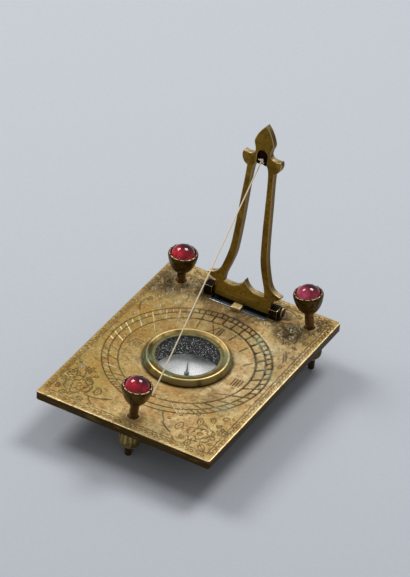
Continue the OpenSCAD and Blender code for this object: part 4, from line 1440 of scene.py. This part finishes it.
class SUNDIAL_OT_frame(bpy.types.Operator):
    """Make the folding frame and the block under its spade"""

    bl_idname = "sundial.frame"
    bl_label = "Folding frame"

    def execute(self, context):
        settings = context.scene.sundial_frame
        obj = build_frame(settings)
        finish_piece(obj, "gnomon", ["gnomon_frame"], "olive_brass", frame_brass(settings),
                     rubbed_and_highlighted_brass("rubbed_and_highlighted_frame_edge", settings.rubbed, settings.brass, *RUBBED_AND_HIGHLIGHTED),
                     sawn_brass("sawn_frame_walls", settings.walls, settings.rubbed))
        saddle = softened("string_saddle", "slot_block", 0.12)
        # The block in the slot is coloured near black
        black = aged_brass("near_black_brass", "#2A1810", "#160E08", "#0C0805", 0.5)
        finish_piece(saddle, "gnomon", ["string_saddle"], "dark_brass", black, black)
        return {"FINISHED"}


class SUNDIAL_OT_screws(bpy.types.Operator):
    """Make the three levelling screws with their cups, claws and stones, and the bosses under the plate"""

    bl_idname = "sundial.screws"
    bl_label = "Levelling screws"

    def execute(self, context):
        settings = context.scene.sundial_screws
        cup_metal = aged_brass("oxidised_cast_brass", "#5A451E", "#30250F", "#160F08", 0.38, 2.2)
        shank_metal = aged_brass("cut_thread_brass", "#806036", "#483518", "#1A130A", 0.38)
        boss_metal = aged_brass("fluted_cast_brass", "#B49C62", "#74602F", "#2A1E0E", 0.42, 3.0)
        claws, thread = claw_tree(), thread_tree()
        claw = self.make_claw()
        for name, (_, _, _, bare) in SCREWS.items():
            glass = (settings.stone, settings.glow)
            if name == "right":
                glass = (settings.right_stone, settings.right_glow)
            self.make_cup(settings, name, bare, claws, claw, cup_metal)
            self.make_stone(name, bare, ruby_glass(name + "_ruby_glass", *glass, name))
            self.make_shank(settings, name, bare, thread, shank_metal)
            self.make_boss(settings, name, boss_metal)
        bpy.data.objects.remove(claw)
        return {"FINISHED"}

    @staticmethod
    def make_claw():
        """One claw: a short tongue that stands on the rim against the stone, with a rubbed tip."""
        rows = []
        for out, up, half, thick in ((0.12, -0.5, 0.42, 0.3), (0.16, -0.05, 0.4, 0.34),
                                     (0.06, 0.28, 0.3, 0.3), (-0.06, 0.46, 0.14, 0.18)):
            front, back, low = out + thick / 2, out - thick / 2, up - 0.04
            rows.append([(front, -half, up), (front, half, up), (back, half, low), (back, -half, low)])
        obj = new_object("claw", *bar_of(rows), UNMOVED)
        mark(obj, "rubbed", lambda p: 0.9 if p.z > 0.4 else 0.0)
        return obj

    @staticmethod
    def make_cup(settings, name, bare, tree, claw, metal):
        """The screw's head: a cup turned to hold its stone, with claws round its rim."""
        outside = smooth([(1.9, 0), (3.2, 0.8), (4.55, 2.8), (5.4, 5.1), (5.8, 6.9), (CUP_R - 0.04, 7.9),
                          (5.68, CUP_H - 0.35), (5.42, CUP_H - 0.12), (5.15, CUP_CREST)], 5)
        seat = [(STONE_R + 0.12, CUP_H - 0.35), (STONE_R + 0.05, GIRDLE_H), (STONE_R + 0.05, SEAT_H),
                (0, SEAT_H)]
        obj = turned(name + "_cup_with_claws", [(1.24, 0)] + outside + seat, 64, UNMOVED)
        mark(obj, "rubbed", lambda p: 0.5 if p.z > CUP_H - 0.2 else 0.0)
        run_tree(obj, tree, {"Claw": claw, "Count": settings.claws, "Rim radius": CLAWS_R,
                             "Rim height": CUP_CREST, "Seed": 7, "Finish": metal})
        obj.data.transform(on_screw(name) @ Matrix.Translation((0, 0, bare)))
        finish_piece(obj, name + "_head", [name + "_cup"], "dark_brass", metal)

    @staticmethod
    def make_stone(name, bare, glass):
        """A cabochon: a part of a ball above its girdle, with a flat foot in the cup."""
        dome_r = (STONE_R**2 + DOME_H**2) / (2 * DOME_H)
        half = math.asin(STONE_R / dome_r)
        dome = [(dome_r * math.sin(half * (1 - k / 14)), GIRDLE_H + DOME_H - dome_r
                 + dome_r * math.cos(half * (1 - k / 14))) for k in range(15)]
        dome[-1] = (0, GIRDLE_H + DOME_H)
        foot = [(0, SEAT_H + 0.02), (STONE_R - 0.2, SEAT_H + 0.02), (STONE_R, SEAT_H + 0.2)]
        obj = turned(name + "_cabochon", foot + dome, 64, on_screw(name) @ Matrix.Translation((0, 0, bare)))
        slot = "pink_glass" if name == "right" else "red_glass"
        finish_piece(obj, name + "_head", [name + "_stone"], slot, glass, sharp=60)

    @staticmethod
    def make_shank(settings, name, bare, tree, metal):
        """The screw below its head: a threaded shank and a tapered foot, cut off level on the table."""
        core, pitch = SHANK_R - THREAD_RIDGE, settings.pitch / MM
        low = -PLATE_T - BOSS_H
        foot = [(0, -STAND_H), (1.1, -STAND_H), (1.25, -STAND_H + 0.2), (1.76, low - 0.8), (1.78, low - 0.3)]
        shank = [(core, low), (core, bare - 1.3), (SHANK_R, bare - 1.1), (SHANK_R, bare - 0.03),
                 (0, bare - 0.03)]
        obj = turned(name + "_threaded_shank", foot + shank, 40, UNMOVED)
        # The foot is painted darker by its screw's painted shade under the plate
        mark(obj, "soil", lambda p: UNDER_PLATE_SHADE[name] if p.z < low + 0.1 else 0.0)
        run = bare - 1.2 - low
        run_tree(obj, tree, {"Radius": core, "Pitch": pitch, "Turns": run / pitch, "Foot": low,
                             "Ridge": THREAD_RIDGE, "Finish": metal})
        obj.data.transform(on_screw(name))
        for v in obj.data.vertices:
            v.co.z = max(v.co.z, 0.0)
        finish_piece(obj, name + "_screw", [name + "_screw"], "dark_brass", metal)

    @staticmethod
    def make_boss(settings, name, metal):
        """The fluted bell in which the screw turns, with its neck through the plate."""
        x, y, lean, _ = SCREWS[name]
        top, low = -PLATE_T, -PLATE_T - BOSS_H
        bell = smooth([(3.88, top), (3.95, top - 2), (4.15, top - 4.8), (4.36, top - 7), (4.26, top - 8.3),
                       (3.76, low + 0.6), (2.95, low)], 6)
        depth, count = 0.35, settings.flutes

        def groove(height, angle):
            fade = min(1, (top - 0.9 - height) / 1.6, (height - low - 1.2) / 1.2)
            return max(0, fade) * (0.5 - 0.5 * math.cos(count * angle)) ** 2

        def flute(radius, height, angle):
            return radius - depth * groove(height, angle) if radius > 2.9 else radius

        obj = turned(name + "_fluted_boss", [(BORE_R, low), (BORE_R, top), (3.6, top)] + bell, count * 8,
                     UNMOVED, closed=True, shape=flute)
        # Soil in the flutes, and the whole boss painted darker by its screw's painted shade
        mark(obj, "soil", lambda p: max(UNDER_PLATE_SHADE[name], 0.6 * groove(p.z, math.atan2(p.y, p.x)))
             if p.to_2d().length > 2.9 else 0.0)
        # A pale band on the bell's lower rim, painted as rubbed metal and as the rim's highlight
        mark(obj, "rubbed", lambda p: 0.8 if low + 0.2 < p.z < low + 1.0 and p.to_2d().length > 3.4 else 0.0)
        obj.data.transform(on_screw(name))
        axis = math.tan(math.radians(lean))
        neck = [(BORE_R, -0.5), (BORE_R + 0.5, 0), (SPIGOT_R, 0), (SPIGOT_R, -0.4), (SPIGOT_R, top),
                (BORE_R, top)]
        verts, faces = lathe(neck, 48, True)
        collar = new_object("neck", [(vx + x + axis * vz, vy + y, vz) for vx, vy, vz in verts], faces)
        mark(collar, "rubbed", lambda p: 0.4 if p.z > (STAND_H - 0.2) * MM else 0.0)
        join(obj, collar)
        finish_piece(obj, "dial", [name + "_boss"], "tarnished_brass", metal)


class SUNDIAL_OT_stage(bpy.types.Operator):
    """Lay the pale floor and set the soft studio lamps"""

    bl_idname = "sundial.stage"
    bl_label = "Stage"

    def execute(self, context):
        scene, stage = context.scene, context.scene.sundial_stage
        floor = turned("floor", [(0, 0), (FLOOR_REACH, 0)], 96, UNMOVED)
        material, tree, place = start_material("matt_backdrop_paper")
        tooth = patches(tree, place, 1.6, 0.3, 0.7, 3)
        surface(tree, Roughness=0.9, Base_Color=layers(tree, stage.floor, ("#A9AFB8", tooth, 0.12)))
        floor.data.materials.append(material)

        world = bpy.data.worlds.new("room")
        world.use_nodes = True
        background = world.node_tree.nodes["Background"].inputs
        background["Color"].default_value, background["Strength"].default_value = stage.world, ROOM_LIGHT
        scene.world = world
        target = ON_DIAL @ Vector(LAMP_TARGET)
        for name, way, size, power in (("left_lamp", (-0.643, 0.09, 0.762), 0.44, stage.key_power),
                                       ("back_lamp", (0.129, 0.496, 0.861), 0.42, stage.back_power)):
            data = bpy.data.lights.new(name, "AREA")
            data.shape, data.size, data.energy = "DISK", size, power
            way = Vector(way).normalized()
            turn = way.to_track_quat("Z", "Y").to_matrix().to_4x4()
            put_in_scene(name, data).matrix_world = Matrix.Translation(target + way * LAMP_GAP) @ turn
        scene.view_settings.view_transform = "Standard"
        return {"FINISHED"}


class SUNDIAL_PT_panel(bpy.types.Panel):
    """Buttons for every part of the sundial"""

    bl_idname = "SUNDIAL_PT_panel"
    bl_label = "Sundial"
    bl_space_type = "VIEW_3D"
    bl_region_type = "UI"
    bl_category = "Sundial"

    def draw(self, context):
        for operator in OPERATORS:
            self.layout.operator(operator.bl_idname)


OPERATORS = (SUNDIAL_OT_camera, SUNDIAL_OT_string, SUNDIAL_OT_plate, SUNDIAL_OT_compass, SUNDIAL_OT_hinge,
             SUNDIAL_OT_frame, SUNDIAL_OT_screws, SUNDIAL_OT_stage)
SETTINGS = {"sundial_string": SundialString, "sundial_plate": SundialPlate, "sundial_compass": SundialCompass,
            "sundial_frame": SundialFrame, "sundial_screws": SundialScrews, "sundial_stage": SundialStage}


def register():
    for group in SETTINGS.values():
        bpy.utils.register_class(group)
    for operator in OPERATORS:
        bpy.utils.register_class(operator)
    bpy.utils.register_class(SUNDIAL_PT_panel)
    for name, group in SETTINGS.items():
        setattr(bpy.types.Scene, name, PointerProperty(type=group))


def unregister():
    for name in SETTINGS:
        delattr(bpy.types.Scene, name)
    bpy.utils.unregister_class(SUNDIAL_PT_panel)
    for operator in reversed(OPERATORS):
        bpy.utils.unregister_class(operator)
    for group in reversed(list(SETTINGS.values())):
        bpy.utils.unregister_class(group)


def main():
    register()
    bpy.ops.sundial.camera()
    bpy.ops.sundial.string()
    bpy.ops.sundial.plate()
    bpy.ops.sundial.compass()
    bpy.ops.sundial.hinge()
    bpy.ops.sundial.frame()
    bpy.ops.sundial.screws()
    bpy.ops.sundial.stage()


if __name__ == "__main__":
    main()
